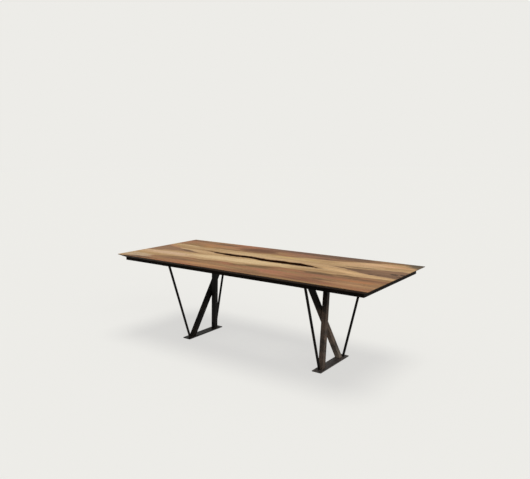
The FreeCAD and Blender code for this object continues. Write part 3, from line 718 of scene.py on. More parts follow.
@dataclass(frozen=True, kw_only=True)
class DarkSteel(Finish):
    """Blackened steel under wax: mottled brown and grey over near black."""

    dark: Colour
    brown: Colour
    grey: Colour
    # Bare metal on worn edges; it is also the colour of the painted light at the foot of a bar.
    bare: Colour = srgb(112, 102, 92)
    # The colour of the painted shade towards the top of a bar, under the table.
    black: Colour = srgb(12, 10, 9)
    lustre: float = 0.12
    bump: float = 0.25
    relief: float = 0.2 * MM
    scale: float = 7.0
    roughness: float = 0.46
    wear: float = 0.35
    edge_radius: float = 1.6 * MM
    # How strong the painted shade towards the top is and the heights where it begins and is full,
    # then how strong the painted light at the foot is and the height where it ends.
    soot: float = 0.0
    soot_foot: float = 0.26
    soot_top: float = 0.54
    scuff: float = 0.0
    scuff_top: float = 0.16

    def dress(self, web: Surface) -> Coat:
        """Wires the patina, the worn edges and the mill scale, with painted shade towards the top
        and painted light at the foot.

        Args:
            web: The material's nodes.

        Returns:
            The colour, the roughness and the bumps' height.
        """
        broad, broad_speck = web.blotch(self.scale, 0.38, 0.62)
        small, small_speck = web.blotch(self.scale * 6.3, 0.45, 0.7)
        wiped = web.noise(web.where, (90.0, 90.0, 9.0), 3.0, 0.6)
        colour = web.mix(broad, self.dark, self.brown)
        colour = web.mix(web.times(small, 0.5), colour, self.grey)
        colour = web.mix(web.smooth(wiped, 0.35, 0.7, 0.0, 0.35), colour, self.dark)
        # Painted shade: darker towards the top of the bar, where the table shades it; painted
        # light: lighter in the bare colour towards the foot.
        if self.soot:
            level = web.ramp(broad, -0.06, web.axes(web.where)["Z"])
            scuffed = web.smooth(level, self.scuff_top, 0.0, 0.0, self.scuff)
            sooty = web.smooth(level, self.soot_foot, self.soot_top, 0.0, self.soot)
            colour = web.mix(sooty, web.mix(scuffed, colour, self.bare), self.black)
        worn = web.use(web.effects.worn_edge, Vector=web.where, Radius=self.edge_radius,
                       Breakup=55.0)[0]
        colour = web.mix(web.times(worn, self.wear), colour, self.bare)
        rough = web.ramp(broad, 0.06, web.ramp(small_speck, 0.22, self.roughness - 0.1))
        return colour, rough, web.ramp(broad_speck, 0.5, small_speck)


@dataclass(frozen=True)
class Rubber(Finish):
    """Soft black rubber with dust in its grain."""

    lustre: float = 0.25
    bump: float = 0.4
    relief: float = 0.2 * MM
    black: Colour = srgb(30, 30, 30)
    dusty: Colour = srgb(74, 72, 68)

    def dress(self, web: Surface) -> Coat:
        """Wires the rubber's grain."""
        grit, speck = web.blotch(45.0, 0.45, 0.75)
        return (web.mix(web.times(grit, 0.5), self.black, self.dusty),
                web.ramp(speck, 0.2, 0.7), speck)


def steel(name: str, dark: Point, brown: Point, grey: Point, **more: object) -> DarkSteel:
    """Makes a steel finish from three screen colours and what else sets it apart."""
    return DarkSteel(name, dark=srgb(*dark), brown=srgb(*brown), grey=srgb(*grey), **more)


PLATE = {"scale": 9.0, "roughness": 0.5, "edge_radius": 1.2 * MM}
TENON_WOOD = PlainWood("pale_tenon_wood")
CRACK_BARK = Bark("bark_in_the_crack")
PAD_RUBBER = Rubber("soft_pad_rubber")
# Painted light and shade: the bars are one blackened steel. The right pedestal, which the side
# light reaches, gets lit copies, and the left one gets a much darker shaded copy. The bars also
# carry painted shade towards the top, and the right back bar carries painted light at its foot.
LIT_RIGHT_FRONT_BAR_STEEL = steel("blackened_right_front_bar_steel_painted_light", (68, 62, 57), (130, 108, 93), (110, 105, 101),
                    lustre=0.1, soot=0.93)
LIT_RIGHT_BACK_BAR_STEEL = steel("blackened_right_back_bar_steel_painted_light", (76, 70, 65), (138, 116, 100), (120, 115, 111),
                   bare=srgb(168, 152, 136), black=srgb(4, 3, 3), lustre=0.07, soot=0.98,
                   soot_foot=0.27, soot_top=0.44, scuff=0.8)
SHADED_LEFT_BAR_STEEL = steel("blackened_left_bar_steel_painted_shade", (24, 23, 21), (44, 38, 33), (38, 38, 37),
                   wear=0.25, lustre=0.05, black=srgb(4, 4, 4), soot=0.9, soot_foot=0.22,
                   soot_top=0.36)
FRAME_STEEL = steel("blackened_frame_steel", (21, 19, 17), (38, 31, 26), (33, 32, 30),
                    wear=0.15, lustre=0.015)
ROD_STEEL = steel("blackened_rod_steel", (24, 22, 21), (40, 34, 30), (34, 34, 34),
                  wear=0.2, lustre=0.05, roughness=0.55)
PLATE_STEEL = steel("blackened_plate_steel", (40, 37, 35), (64, 55, 49), (58, 57, 56), **PLATE)
# Painted light and shade: the two base plates are one blackened steel, lit on the right and
# shaded on the left.
LIT_RIGHT_FOOT_STEEL = steel("blackened_right_foot_painted_light", (82, 78, 76), (110, 98, 92), (103, 100, 99), **PLATE)
SHADED_LEFT_FOOT_STEEL = steel("blackened_left_foot_painted_shade", (26, 24, 22), (42, 37, 33), (38, 37, 36), **PLATE)
WELD_STEEL = steel("brushed_weld_steel", (52, 46, 42), (88, 70, 58), (92, 88, 86), scale=26.0,
                   roughness=0.44, wear=0.0)
BOLT_STEEL = steel("black_oxide_bolts", (24, 24, 25), (38, 35, 33), (44, 45, 47), scale=40.0,
                   roughness=0.38, wear=0.45, edge_radius=0.7 * MM, relief=0.08 * MM,
                   lustre=0.45)
# Each bar takes its lit or shaded copy of the steel.
BAR_STEEL = {"bar_front_left": SHADED_LEFT_BAR_STEEL, "bar_back_left": SHADED_LEFT_BAR_STEEL,
             "bar_front_right": LIT_RIGHT_FRONT_BAR_STEEL, "bar_back_right": LIT_RIGHT_BACK_BAR_STEEL}
# Each base plate takes its lit or shaded copy of the steel.
FOOT_STEEL = {Side.LEFT: SHADED_LEFT_FOOT_STEEL, Side.RIGHT: LIT_RIGHT_FOOT_STEEL}


# Making pieces


@dataclass(frozen=True)
class Ease:
    """How the long outer edges of a steel part are rounded."""

    radius: float
    shortest: float
    segments: int = 3
    sharpest: float = 0.6
    flattest: float = math.radians(0.6)
    crease: float = math.radians(32)


@dataclass(frozen=True)
class Bolt:
    """The sizes of a hexagon bolt: its head, the ring and the bevel on it, and its thread."""

    flats: float
    head: float
    collar: float
    crown: float
    radius: float
    length: float
    pitch: float


def link(name: str, data: bpy.types.ID) -> bpy.types.Object:
    """Adds an object to the scene.

    Args:
        name: The object's name.
        data: Its mesh, light or camera.

    Returns:
        The object.
    """
    made = bpy.data.objects.new(name, data)
    bpy.context.scene.collection.objects.link(made)
    return made


def joined(node: str) -> bmesh.types.BMesh:
    """Copies a node's mesh and joins the corners that lie on each other.

    Args:
        node: The node's name.

    Returns:
        The copy, which the caller frees.
    """
    shape = bmesh.new()
    shape.from_mesh(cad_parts[node].data)
    bmesh.ops.remove_doubles(shape, verts=shape.verts, dist=MERGE)
    return shape


def smoothed(shape: bmesh.types.BMesh, name: str) -> Mesh:
    """Turns a shape into a mesh with smooth faces, and frees it.

    Args:
        shape: The shape.
        name: The mesh's name.

    Returns:
        The mesh.
    """
    for face in shape.faces:
        face.smooth = True
    mesh = bpy.data.meshes.new(name)
    shape.to_mesh(mesh)
    shape.free()
    return mesh


def flatten(rough: bpy.types.Object, name: str) -> Mesh:
    """Turns an object and its modifiers into a plain mesh, and removes the object.

    Args:
        rough: The object with its modifiers.
        name: The new mesh's name.

    Returns:
        The plain mesh.
    """
    graph = bpy.context.evaluated_depsgraph_get()
    mesh = bpy.data.meshes.new_from_object(rough.evaluated_get(graph), depsgraph=graph)
    rough.modifiers.clear()
    old = rough.data
    bpy.data.objects.remove(rough)
    bpy.data.meshes.remove(old)
    mesh.name = name
    return mesh


class Maker:
    """Makes pieces, dresses them, and reports each one."""

    def __init__(self) -> None:
        """Builds the shared shader groups and the trees for welds and bolts."""
        self.effects = Effects()
        self.bead_tree = build_bead_tree()
        self.bolt_tree = build_bolt_tree()
        self.made = 0

    def dress_node(self, name: str, finish: Finish) -> None:
        """Gives a node of the frame its finish.

        Args:
            name: The node's name.
            finish: What it is made of.
        """
        self.coat(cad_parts[name].data, finish)
        self.report(name)

    def coat(self, mesh: Mesh, finish: Finish) -> None:
        """Gives a mesh one material."""
        mesh.materials.clear()
        mesh.materials.append(finish.material(self.effects))

    def place(self, mesh: Mesh, name: str, finish: Finish, slot: Slot,
              replaces: tuple[str, ...] = ()) -> None:
        """Adds a finished mesh as a piece that rides on the table.

        Args:
            mesh: The piece's mesh, in the frame's coordinates.
            name: The piece's name.
            finish: What it is made of.
            slot: The record's slot for it; not used.
            replaces: The frame's nodes that it stands for.
        """
        piece = link(name, mesh)
        self.coat(mesh, finish)
        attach(piece, BODY)
        if replaces:
            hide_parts(*replaces)
        self.report(name)

    def report(self, name: str) -> None:
        """Counts and logs a piece."""
        self.made += 1
        LOG.info("piece %d: %s", self.made, name)

    def ease(self, node: str, ease: Ease, finish: Finish) -> None:
        """Stands a copy with rounded long edges in for a steel node.

        Args:
            node: The node's name.
            ease: How its edges are rounded.
            finish: What it is made of.
        """
        shape = joined(node)
        for layer in list(shape.loops.layers.uv):
            shape.loops.layers.uv.remove(layer)
        bmesh.ops.dissolve_limit(shape, angle_limit=ease.flattest, verts=shape.verts,
                                 edges=shape.edges, use_dissolve_boundaries=False)
        weight = shape.edges.layers.float.new("bevel_weight_edge")
        for edge in shape.edges:
            sharp = (edge.is_manifold and edge.is_convex
                     and edge.calc_face_angle() > ease.sharpest)
            edge[weight] = 1.0 if sharp and edge.calc_length() > ease.shortest else 0.0
        mesh = smoothed(shape, node + "_joined")
        mesh.set_sharp_from_angle(angle=ease.crease)
        rough = link(node + "_rough", mesh)
        bevel = rough.modifiers.new("ease", "BEVEL")
        bevel.limit_method = "WEIGHT"
        bevel.width = ease.radius
        bevel.segments = ease.segments
        bevel.harden_normals = True
        self.place(flatten(rough, node + "_eased"), node + "_eased", finish, Slot.STEEL, (node,))

    def weld(self, name: str, paths: Paths, radius: float, closed: bool) -> None:
        """Lays weld beads along paths.

        Args:
            name: The piece's name.
            paths: The points of each path.
            radius: The bead's half width.
            closed: Whether each path ends where it begins.
        """
        points, edges = [], []
        for path in paths:
            first = len(points)
            points += path
            edges += [(i, i + 1) for i in range(first, len(points) - 1)]
            if closed:
                edges.append((len(points) - 1, first))
        mesh = bpy.data.meshes.new(name + "_path")
        mesh.from_pydata(points, edges, [])
        grown = self.grow(mesh, name, self.bead_tree, WELD_STEEL,
                          {"Spacing": radius * RIPPLE_STEP, "Radius": radius})
        self.place(grown, name, WELD_STEEL, Slot.STEEL)

    def bolt(self, node: str, sizes: Bolt) -> None:
        """Stands detailed bolts in for a group of plain ones.

        Args:
            node: The node that holds the plain bolts.
            sizes: The detailed bolt's sizes.
        """
        name = node + "_detailed"
        boxes = island_boxes(node)
        floor = min(lo.z for lo, _ in boxes)
        mesh = bpy.data.meshes.new(name + "_seats")
        mesh.from_pydata([((lo.x + hi.x) / 2, (lo.y + hi.y) / 2, floor) for lo, hi in boxes],
                         [], [])
        grown = self.grow(mesh, name, self.bolt_tree, BOLT_STEEL, asdict(sizes))
        self.place(grown, name, BOLT_STEEL, Slot.FASTENERS, (node,))

    def grow(self, mesh: Mesh, name: str, tree: Tree, finish: Finish,
             inputs: dict[str, object]) -> Mesh:
        """Runs a geometry tree on a mesh and keeps the plain result.

        Args:
            mesh: What the tree starts from.
            name: The result's name.
            tree: The geometry tree.
            finish: What the result is made of.
            inputs: Values of the tree's other inputs, by name.

        Returns:
            The grown mesh.
        """
        rough = link(name + "_seed", mesh)
        modifier = rough.modifiers.new("grow", "NODES")
        modifier.node_group = tree
        inputs["Finish"] = finish.material(self.effects)
        for item in tree.interface.items_tree:
            if item.in_out == "INPUT" and item.name in inputs:
                modifier[item.identifier] = inputs[item.name]
        return flatten(rough, name)


def height_at(line: Line, x: float) -> float:
    """Reads a line of straight pieces.

    Args:
        line: The line's points, from left to right.
        x: Where it is read.

    Returns:
        The line's Y there.
    """
    for (x0, y0), (x1, y1) in zip(line, line[1:]):
        if x0 <= x <= x1 and x1 > x0:
            return y0 + (y1 - y0) * (x - x0) / (x1 - x0)
    return line[-1][1]


def island_boxes(node: str) -> list[tuple[Vector, Vector]]:
    """Finds the corners of each separate solid in a node.

    Args:
        node: The node's name.

    Returns:
        The lowest and highest corner of each solid, ordered by place.
    """
    shape = joined(node)
    boxes, seen = [], set()
    for start in shape.verts:
        if start in seen:
            continue
        seen.add(start)
        queue, island = [start], []
        while queue:
            vert = queue.pop()
            island.append(vert.co.copy())
            for edge in vert.link_edges:
                other = edge.other_vert(vert)
                if other not in seen:
                    seen.add(other)
                    queue.append(other)
        boxes.append(tuple(Vector(extreme(p[i] for p in island) for i in range(3))
                           for extreme in (min, max)))
    shape.free()
    return sorted(boxes, key=lambda box: (round(box[0].x, 4), round(box[0].y, 4)))


def outline_at(node: str, height: float) -> list[Point]:
    """Finds the outer outline of a node's cut at a height.

    Args:
        node: The node's name.
        height: The height of the level cut.

    Returns:
        The outline's corners, anticlockwise.
    """
    found = sorted({(round(v.co.x, 6), round(v.co.y, 6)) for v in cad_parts[node].data.vertices
                    if abs(v.co.z - height) < LEVEL})
    hull: list[Point] = []
    for points in (found, found[::-1]):
        chain: Line = []
        for x, y in points:
            while len(chain) > 1 and (
                    (chain[-1][0] - chain[-2][0]) * (y - chain[-2][1])
                    - (chain[-1][1] - chain[-2][1]) * (x - chain[-2][0])) <= STRAIGHT:
                chain.pop()
            chain.append((x, y))
        hull += [(x, y, height) for x, y in chain[:-1]]
    return hull


def build_bead_tree() -> Tree:
    """Builds the geometry tree that lays overlapping weld ripples along edges.

    Returns:
        The tree.
    """
    web, take = new_group("weld_bead", GEOMETRY_TREE, {
        "Path": GEOMETRY, "Spacing": 0.002, "Radius": 0.002, "Finish": MATERIAL}, "Bead")
    curve = web.out("GeometryNodeMeshToCurve", {0: take["Path"]})
    spaced = web.out("GeometryNodeResampleCurve", {
        "Curve": curve, "Length": take["Spacing"]}, mode="LENGTH")
    ripple = web.out("GeometryNodeMeshUVSphere", {"Segments": 8, "Rings": 5, "Radius": 1.0})
    soft = web.out("GeometryNodeSetShadeSmooth", {0: ripple})
    turned = web.out("FunctionNodeAlignRotationToVector", {
        "Vector": web.out("GeometryNodeInputTangent")}, axis="X")
    wobble = web.out("FunctionNodeRandomValue", {
        0: (0.85, 0.82, 0.82), 1: (1.15, 1.08, 1.08), "Seed": 7}, data_type="FLOAT_VECTOR")
    size = web.out("ShaderNodeVectorMath", {0: wobble, "Scale": take["Radius"]},
                   operation="SCALE")
    return web.give(web.strew(spaced, soft, take["Finish"], Rotation=turned, Scale=size))


def build_bolt_tree() -> Tree:
    """Builds the geometry tree that stands a threaded hex bolt, head down, on each point.

    Returns:
        The tree.
    """
    names = [item.name for item in fields(Bolt)]
    web, take = new_group("hex_bolt", GEOMETRY_TREE, {
        "Seats": GEOMETRY, **dict.fromkeys(names, 0.01), "Finish": MATERIAL}, "Bolts")
    flats, head, collar, crown, radius, length, pitch = (take[name] for name in names)

    def stand(kind: str, height: object, sizes: dict[str, object]) -> Socket:
        """Adds a shape and lifts it to a height."""
        up = web.out("ShaderNodeCombineXYZ", {"Z": height})
        return web.out("GeometryNodeTransform", {
            "Geometry": web.out(kind, sizes), "Translation": up})

    # Radii as shares of the width across flats: the crown, the hexagon and the collar.
    tip, brim, corner, near, far = (
        web.times(flats, share) for share in (0.43, 0.5, 1 / math.sqrt(3), 0.6, 0.66))
    root = web.times(radius, THREAD_ROOT)
    ridge = web.out("GeometryNodeMeshCone", {
        "Vertices": 20, "Radius Bottom": radius, "Radius Top": root,
        "Depth": web.times(pitch, 0.6)})
    room = web.minus(length, web.times(pitch, 2.0))
    turns = web.out("GeometryNodeMeshLine", {
        "Count": web.math("FLOOR", web.math("DIVIDE", room, pitch)),
        "Start Location": web.out("ShaderNodeCombineXYZ", {"Z": web.ramp(pitch, 1.4, head)}),
        "Offset": web.out("ShaderNodeCombineXYZ", {"Z": pitch})})
    # The crown is the head's chamfered outer face, the hexagon follows, and then the collar.
    parts = [
        stand("GeometryNodeMeshCone", 0.0, {
            "Vertices": 24, "Radius Bottom": tip, "Radius Top": brim, "Depth": crown}),
        stand("GeometryNodeMeshCylinder", web.times(web.math("ADD", head, crown), 0.5), {
            "Vertices": 6, "Radius": corner, "Depth": web.minus(head, crown)}),
        stand("GeometryNodeMeshCone", web.minus(head, collar), {
            "Vertices": 32, "Radius Bottom": near, "Radius Top": far, "Depth": collar}),
        stand("GeometryNodeMeshCylinder", web.ramp(length, 0.5, head), {
            "Vertices": 20, "Radius": root, "Depth": length}),
        web.out("GeometryNodeInstanceOnPoints", {"Points": turns, "Instance": ridge}),
    ]
    whole = web.add("GeometryNodeJoinGeometry")
    for part in parts:
        web.tree.links.new(part, whole.inputs[0])
    return web.give(web.strew(take["Seats"], whole.outputs[0], take["Finish"]))


# Sub-assemblies


@dataclass
class TableTop:
    """The three boards, their tenons, and the bark in the crack."""

    boards: tuple[str, ...] = ("top_board_front", "top_board_centre", "top_board_back")
    tenons: str = "top_tenons"
    half_length: float = 1.2
    face: float = 0.75
    underside: float = 0.72
    # The crack's edge lies within this half length and half width and this near to the face,
    # between the face and walls whose normals lean up by less than this.
    crack_zone: tuple[float, float] = (1.0, 0.1)
    flush: float = 0.1 * MM
    upright: float = 0.5
    stations: int = 20
    steps_along: int = 420
    steps_down: int = 16
    short_of_tip: float = 6.0 * MM
    buried: float = 1.2 * MM
    below_face: float = 0.5 * MM
    thickest: float = 5.0 * MM
    share_of_gap: float = 0.38
    lip: float = 1.2 * MM
    lip_scale: float = 90.0
    # How fine the bark's plates and its fissures are along the wall and down it.
    plate_scales: tuple[float, float] = (55.0, 150.0)
    fissure_scales: tuple[float, float] = (70.0, 60.0)
    # Shares of the bark's thickness, and where its bulge begins and how fast it runs down.
    thinnest: float = 0.18
    plate_share: float = 0.62
    fissure_share: float = 0.6
    bulge: tuple[float, float] = (0.12, 1.1)
    walls: dict[str, Line] = field(default_factory=dict)

    def build(self, maker: Maker) -> None:
        """Dresses the boards and lines the crack.

        Args:
            maker: What makes and dresses the pieces.
        """
        self.walls = self.follow_crack()
        wood = TopWood("oiled_two_tone_wood", crack_back=self.plotted("back"),
                       crack_front=self.plotted("front"))
        for board in self.boards:
            maker.dress_node(board, wood)
        maker.dress_node(self.tenons, TENON_WOOD)
        for wall, inwards, seed in (("back", -1.0, 3.0), ("front", 1.0, 9.0)):
            maker.place(self.lining(wall, inwards, seed), f"crack_bark_{wall}", CRACK_BARK,
                        Slot.TOP_WOOD)

    def follow_crack(self) -> dict[str, Line]:
        """Follows the crack's edge both ways round on the centre board's top face.

        Returns:
            The points of the back wall and of the front wall, from left to right.
        """
        board = joined(self.boards[1])
        board.normal_update()
        rim = {edge for edge in board.edges
               if all(self.in_crack(vert.co) for vert in edge.verts)
               and any(abs(face.normal.z) < self.upright for face in edge.link_faces)}
        corners = sorted({vert for edge in rim for vert in edge.verts}, key=lambda v: v.co.x)
        walls = []
        for edge in (e for e in corners[0].link_edges if e in rim):
            chain = [corners[0]]
            while chain[-1] is not corners[-1]:
                chain.append(edge.other_vert(chain[-1]))
                onward = [e for e in chain[-1].link_edges if e in rim and e is not edge]
                edge = onward[0] if onward else edge
            walls.append(sorted((vert.co.x, vert.co.y) for vert in chain))
        board.free()
        front, back = sorted(walls, key=lambda wall: sum(y for _, y in wall) / len(wall))
        LOG.info("crack walls: %d and %d points", len(back), len(front))
        return {"back": back, "front": front}

    def in_crack(self, spot: Vector) -> bool:
        """Tells whether a corner of the centre board lies on the crack's edge at the top."""
        return (self.face - spot.z < self.flush and abs(spot.x) < self.crack_zone[0]
                and abs(spot.y) < self.crack_zone[1])

    def plotted(self, wall: str) -> tuple:
        """Thins a wall to a few even stations and carries it on to the table's ends.

        Args:
            wall: "back" or "front".

        Returns:
            The line's points.
        """
        begin, end = self.walls[wall][0], self.walls[wall][-1]
        places = [begin[0] + (end[0] - begin[0]) * i / self.stations
                  for i in range(self.stations + 1)]
        return ((-self.half_length, begin[1]),
                *((x, height_at(self.walls[wall], x)) for x in places),
                (self.half_length, end[1]))

    def ragged(self, x: float, drop: float, seed: float) -> tuple[float, float]:
        """Works out the bark's thickness and height at a place on a wall.

        Args:
            x: The place along the table.
            drop: How far down it is, from 0 at the top to 1 at the bottom.
            seed: What tells one wall's bark from the other's.

        Returns:
            The share of the bark's greatest thickness, and the height.
        """
        z = self.face - self.below_face - drop * (
            self.face - self.underside - 2 * self.below_face)
        along, down = self.plate_scales
        plates = noise.fractal(Vector((x * along, z * down + seed, 0.0)), 0.9, 2.1, 4) * 0.5 + 0.5
        along, down = self.fissure_scales
        near, far = noise.voronoi(Vector((x * along, z * down, 0.5)))[0][:2]
        worn = 1 - self.fissure_share + self.fissure_share * min(1.0, far - near)
        thick = self.thinnest + self.plate_share * max(0.0, min(1.0, plates)) * worn
        turn = min(1.0, self.bulge[0] + drop * self.bulge[1])
        thick *= math.sin(math.pi * turn) * 0.5 + 0.5
        lip = self.lip * max(0.0, noise.noise(Vector((x * self.lip_scale, 4.0, 0.0))))
        return thick, z - lip * (1 - drop)

    def lining(self, wall: str, inwards: float, seed: float) -> Mesh:
        """Builds the ragged bark on one wall of the crack as a closed slab.

        Args:
            wall: "back" or "front".
            inwards: The direction into the crack along Y, 1 or -1.
            seed: What tells its bark from the other wall's.

        Returns:
            The slab's mesh.
        """
        begin, end = (self.walls["back"][i][0] for i in (0, -1))
        begin, end = begin + self.short_of_tip, end - self.short_of_tip
        shell = bmesh.new()
        bare: list[list[bmesh.types.BMVert]] = []
        hidden: list[list[bmesh.types.BMVert]] = []
        for i in range(self.steps_along + 1):
            x = begin + (end - begin) * i / self.steps_along
            back, front = (height_at(self.walls[name], x) for name in ("back", "front"))
            y = height_at(self.walls[wall], x)
            limit = min(self.thickest, abs(back - front) * self.share_of_gap)
            bare.append([])
            hidden.append([])
            for j in range(self.steps_down + 1):
                thick, z = self.ragged(x, j / self.steps_down, seed)
                bare[i].append(shell.verts.new((x, y + inwards * limit * thick, z)))
                hidden[i].append(shell.verts.new((x, y - inwards * self.buried, z)))
        for a, b in zip(range(self.steps_along), range(1, self.steps_along + 1)):
            for j in range(self.steps_down):
                shell.faces.new((bare[a][j], bare[b][j], bare[b][j + 1], bare[a][j + 1]))
                shell.faces.new((hidden[a][j], hidden[a][j + 1], hidden[b][j + 1],
                                 hidden[b][j]))
            for j in (0, self.steps_down):
                shell.faces.new((bare[a][j], hidden[a][j], hidden[b][j], bare[b][j]))
        for a in (0, self.steps_along):
            for j in range(self.steps_down):
                shell.faces.new((bare[a][j], bare[a][j + 1], hidden[a][j + 1], hidden[a][j]))
        bmesh.ops.recalc_face_normals(shell, faces=shell.faces)
        return smoothed(shell, f"crack_bark_{wall}")


@dataclass
class Subframe:
    """The mitred tube frame under the top, its cross tubes, welds and screws."""

    rails: tuple[str, ...] = ("frame_rail_front", "frame_rail_back", "frame_end_left",
                              "frame_end_right")
    cross_tubes: tuple[str, ...] = (
        "cross_tube_centre", "cross_tube_left_outer", "cross_tube_left_inner",
        "cross_tube_right_inner", "cross_tube_right_outer")
    edge: Ease = Ease(radius=2.0 * MM, shortest=50 * MM)
    bead: float = 1.5 * MM
    off_wall: float = 0.4 * MM
    off_floor: float = 0.9 * MM
    off_end: float = 2.0 * MM
    off_side: float = 3.0 * MM
    off_corner: float = 1.0 * MM
    screw: Bolt = Bolt(flats=0.013, head=0.0053, collar=0.0012, crown=0.0008, radius=0.0039,
                       length=0.0345, pitch=0.0025)

    def build(self, maker: Maker) -> None:
        """Eases the tubes, welds them and sets the screws.

        Args:
            maker: What makes and dresses the pieces.
        """
        for name in (*self.rails, *self.cross_tubes):
            maker.ease(name, self.edge, FRAME_STEEL)
        maker.weld("frame_welds", self.weld_paths(), self.bead, closed=False)
        maker.bolt("top_screws", self.screw)

    def weld_paths(self) -> Paths:
        """Lists the welds where cross tubes meet rails, and at the mitres.

        Returns:
            Each path's two ends.
        """
        paths = []
        for name in self.cross_tubes:
            lo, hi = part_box(name)
            z = lo.z + self.off_floor
            for y in (lo.y, hi.y):
                beside = y + (self.off_wall if y < 0 else -self.off_wall)
                for x in (lo.x, hi.x):
                    paths.append([(x, beside, lo.z + self.off_end),
                                  (x, beside, hi.z - self.off_end)])
                paths.append([(lo.x + self.off_side, y, z), (hi.x - self.off_side, y, z)])
        lo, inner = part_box("frame_rail_front")
        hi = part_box("frame_rail_back")[1]
        z = lo.z + self.off_floor
        steps = (self.off_side, inner.y - lo.y - self.off_corner)
        for x, right in ((lo.x, 1), (hi.x, -1)):
            for y, back in ((lo.y, 1), (hi.y, -1)):
                paths.append([(x + right * step, y + back * step, z) for step in steps])
        return paths


@dataclass
class Pedestal:
    """One steel pedestal: base plate, crossed bars, thin rods and the plates on top."""

    side: Side
    foot_edge: Ease = Ease(radius=0.35 * MM, shortest=20 * MM, segments=2)
    bar_edge: Ease = Ease(radius=2.4 * MM, shortest=120 * MM)
    # No edge is as long as this, so the rods keep their rims.
    rod_edge: Ease = Ease(radius=1.0 * MM, shortest=9.0)
    plate_edge: Ease = Ease(radius=0.6 * MM, shortest=4 * MM, segments=2)
    bar_bead: float = 2.3 * MM
    rod_bead: float = 1.7 * MM

    def name(self, stem: str) -> str:
        """Adds the side to a node's stem."""
        return f"{stem}_{self.side.value}"

    def build(self, maker: Maker) -> None:
        """Dresses the plates and pads, eases the bars and lays the welds.

        Args:
            maker: What makes and dresses the pieces.
        """
        bars, rods = ([self.name(f"{kind}_{place}") for place in ("front", "back")]
                      for kind in ("bar", "rod"))
        maker.ease(self.name("base_plate"), self.foot_edge, FOOT_STEEL[self.side])
        maker.dress_node(self.name("floor_pads"), PAD_RUBBER)
        for bar in bars:
            maker.ease(bar, self.bar_edge, BAR_STEEL[bar])
        for rod in rods:
            maker.ease(rod, self.rod_edge, ROD_STEEL)
        for stem in ("head_plate", "rod_flange_front", "rod_flange_back"):
            maker.ease(self.name(stem), self.plate_edge, PLATE_STEEL)
        for stem, nodes, bead in (("bar_welds", bars, self.bar_bead),
                                  ("rod_welds", rods, self.rod_bead)):
            rims = [outline_at(node, corner.z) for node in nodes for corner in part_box(node)]
            maker.weld(self.name(stem), rims, bead, closed=True)


@dataclass
class PedestalBolts:
    """The bolts that hold both pedestals to the frame."""

    plate_bolt: Bolt = Bolt(flats=0.017, head=0.0064, collar=0.0015, crown=0.001,
                            radius=0.0048, length=0.0215, pitch=0.0015)
    flange_bolt: Bolt = Bolt(flats=0.010, head=0.004, collar=0.001, crown=0.0006,
                             radius=0.0029, length=0.0155, pitch=0.001)

    def build(self, maker: Maker) -> None:
        """Sets both kinds of bolt."""
        maker.bolt("head_plate_bolts", self.plate_bolt)
        maker.bolt("rod_flange_bolts", self.flange_bolt)


# Studio


@dataclass(frozen=True)
class Lamp:
    """A broad soft light: its share of a level surface's light, and its angles in degrees."""

    name: str
    share: float
    elevation: float
    azimuth: float
    softness: float

    def hang(self) -> None:
        """Adds the light to the scene."""
        rise, turn = math.radians(self.elevation), math.radians(self.azimuth)
        lamp = bpy.data.lights.new(self.name, "SUN")
        lamp.energy = self.share * math.pi / math.sin(rise)
        lamp.angle = math.radians(self.softness)
        towards = Vector((math.cos(turn) * math.cos(rise), math.sin(turn) * math.cos(rise),
                          math.sin(rise)))
        link(self.name, lamp).rotation_euler = towards.to_track_quat("Z", "Y").to_euler()


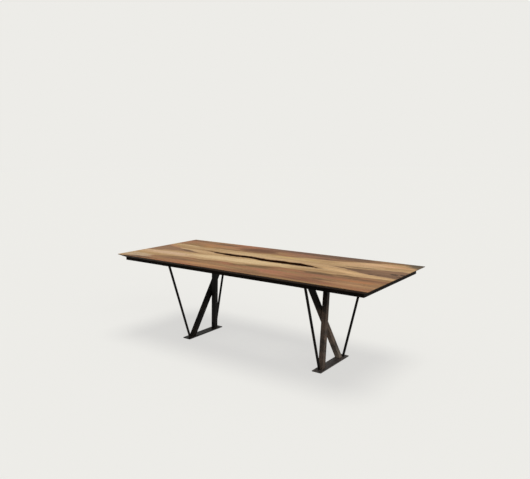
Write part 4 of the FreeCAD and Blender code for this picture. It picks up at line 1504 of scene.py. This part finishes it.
@dataclass
class Studio:
    """The pale floor, the soft light and the camera."""

    pale: Colour = srgb(237, 236, 232)
    paper_lit: Colour = srgb(237, 236, 225)
    paper_even: Colour = srgb(237, 236, 234)
    white: Colour = (1.0, 1.0, 1.0, 1.0)
    dull: Colour = (0.16, 0.16, 0.16, 1.0)
    dome: float = 0.24
    lamps: tuple[Lamp, ...] = (Lamp("soft_key", 0.67, 82.0, -8.0, 32.0),
                               Lamp("side_fill", 0.10, 24.0, -20.0, 40.0))
    floor_half: float = 60.0
    floor_sides: int = 96
    shadow_share: float = 0.25
    place: Point = (2.6999, -3.6540, 1.6164)
    yaw: float = 36.09
    pitch: float = 8.73
    roll: float = 0.22
    lens: float = 38.04
    sensor: float = 36.0
    farthest: float = 200.0

    def build(self) -> None:
        """Sets up the floor, the light and the camera."""
        self.light_world()
        self.lay_floor()
        for lamp in self.lamps:
            lamp.hang()
        self.set_camera()

    @staticmethod
    def seen(web: Web) -> Socket:
        """Gives 1 to camera, glossy and transmission rays, and 0 to those that only light."""
        path = web.add("ShaderNodeLightPath").outputs
        return web.math("MAXIMUM", web.math("MAXIMUM", path["Is Camera Ray"],
                                            path["Is Glossy Ray"]), path["Is Transmission Ray"])

    def light_world(self) -> None:
        """Makes an even pale dome."""
        world = bpy.data.worlds.new("studio")
        bpy.context.scene.world = world
        web = Web(cleared(world))
        lit, shown = (web.out("ShaderNodeBackground", {"Color": colour, "Strength": strength})
                      for colour, strength in ((self.white, self.dome), (self.pale, 1.0)))
        web.add("ShaderNodeOutputWorld", {"Surface": web.blend(self.seen(web), lit, shown)})

    def lay_floor(self) -> None:
        """Lays the floor, whose own pale colour carries a light shadow."""
        shape = bmesh.new()
        bmesh.ops.create_circle(shape, cap_ends=True, segments=self.floor_sides,
                                radius=self.floor_half)
        mesh = smoothed(shape, "studio_floor")
        floor = link("studio_floor", mesh)
        paper = bpy.data.materials.new("pale_paper")
        web = Web(cleared(paper))
        even = web.out("ShaderNodeEmission", {"Color": self.paper_even, "Strength": 1.0})
        shadowed, dull = (web.out("ShaderNodeBsdfDiffuse", {"Color": colour})
                          for colour in (self.paper_lit, self.dull))
        shown = web.blend(self.shadow_share, even, shadowed)
        web.add("ShaderNodeOutputMaterial", {"Surface": web.blend(self.seen(web), dull, shown)})
        mesh.materials.append(paper)

    def set_camera(self) -> None:
        """Stands the camera where the photograph was taken from."""
        yaw, pitch, roll = (math.radians(a) for a in (self.yaw, self.pitch, self.roll))
        ahead = Vector((-math.sin(yaw) * math.cos(pitch), math.cos(yaw) * math.cos(pitch),
                        -math.sin(pitch)))
        level = Vector((math.cos(yaw), math.sin(yaw), 0.0))
        down = ahead.cross(level)
        right = math.cos(roll) * level + math.sin(roll) * down
        below = -math.sin(roll) * level + math.cos(roll) * down
        turn = Matrix((right, -below, -ahead)).transposed().to_4x4()
        lens = bpy.data.cameras.new("photo_view")
        lens.sensor_width = self.sensor
        lens.sensor_fit = "HORIZONTAL"
        lens.lens = self.lens
        lens.clip_end = self.farthest
        camera = link("photo_view", lens)
        camera.matrix_world = Matrix.Translation(self.place) @ turn
        bpy.context.scene.camera = camera


def main() -> None:
    """Builds the table's parts in order, then the studio."""
    logging.basicConfig(level=logging.INFO, format="%(name)s: %(message)s")
    bpy.context.scene.view_settings.view_transform = "Standard"
    maker = Maker()
    TableTop().build(maker)
    Subframe().build(maker)
    for side in Side:
        Pedestal(side).build(maker)
    PedestalBolts().build(maker)
    Studio().build()
    LOG.info("%d pieces made or dressed", maker.made)


if __name__ == "__main__":
    main()
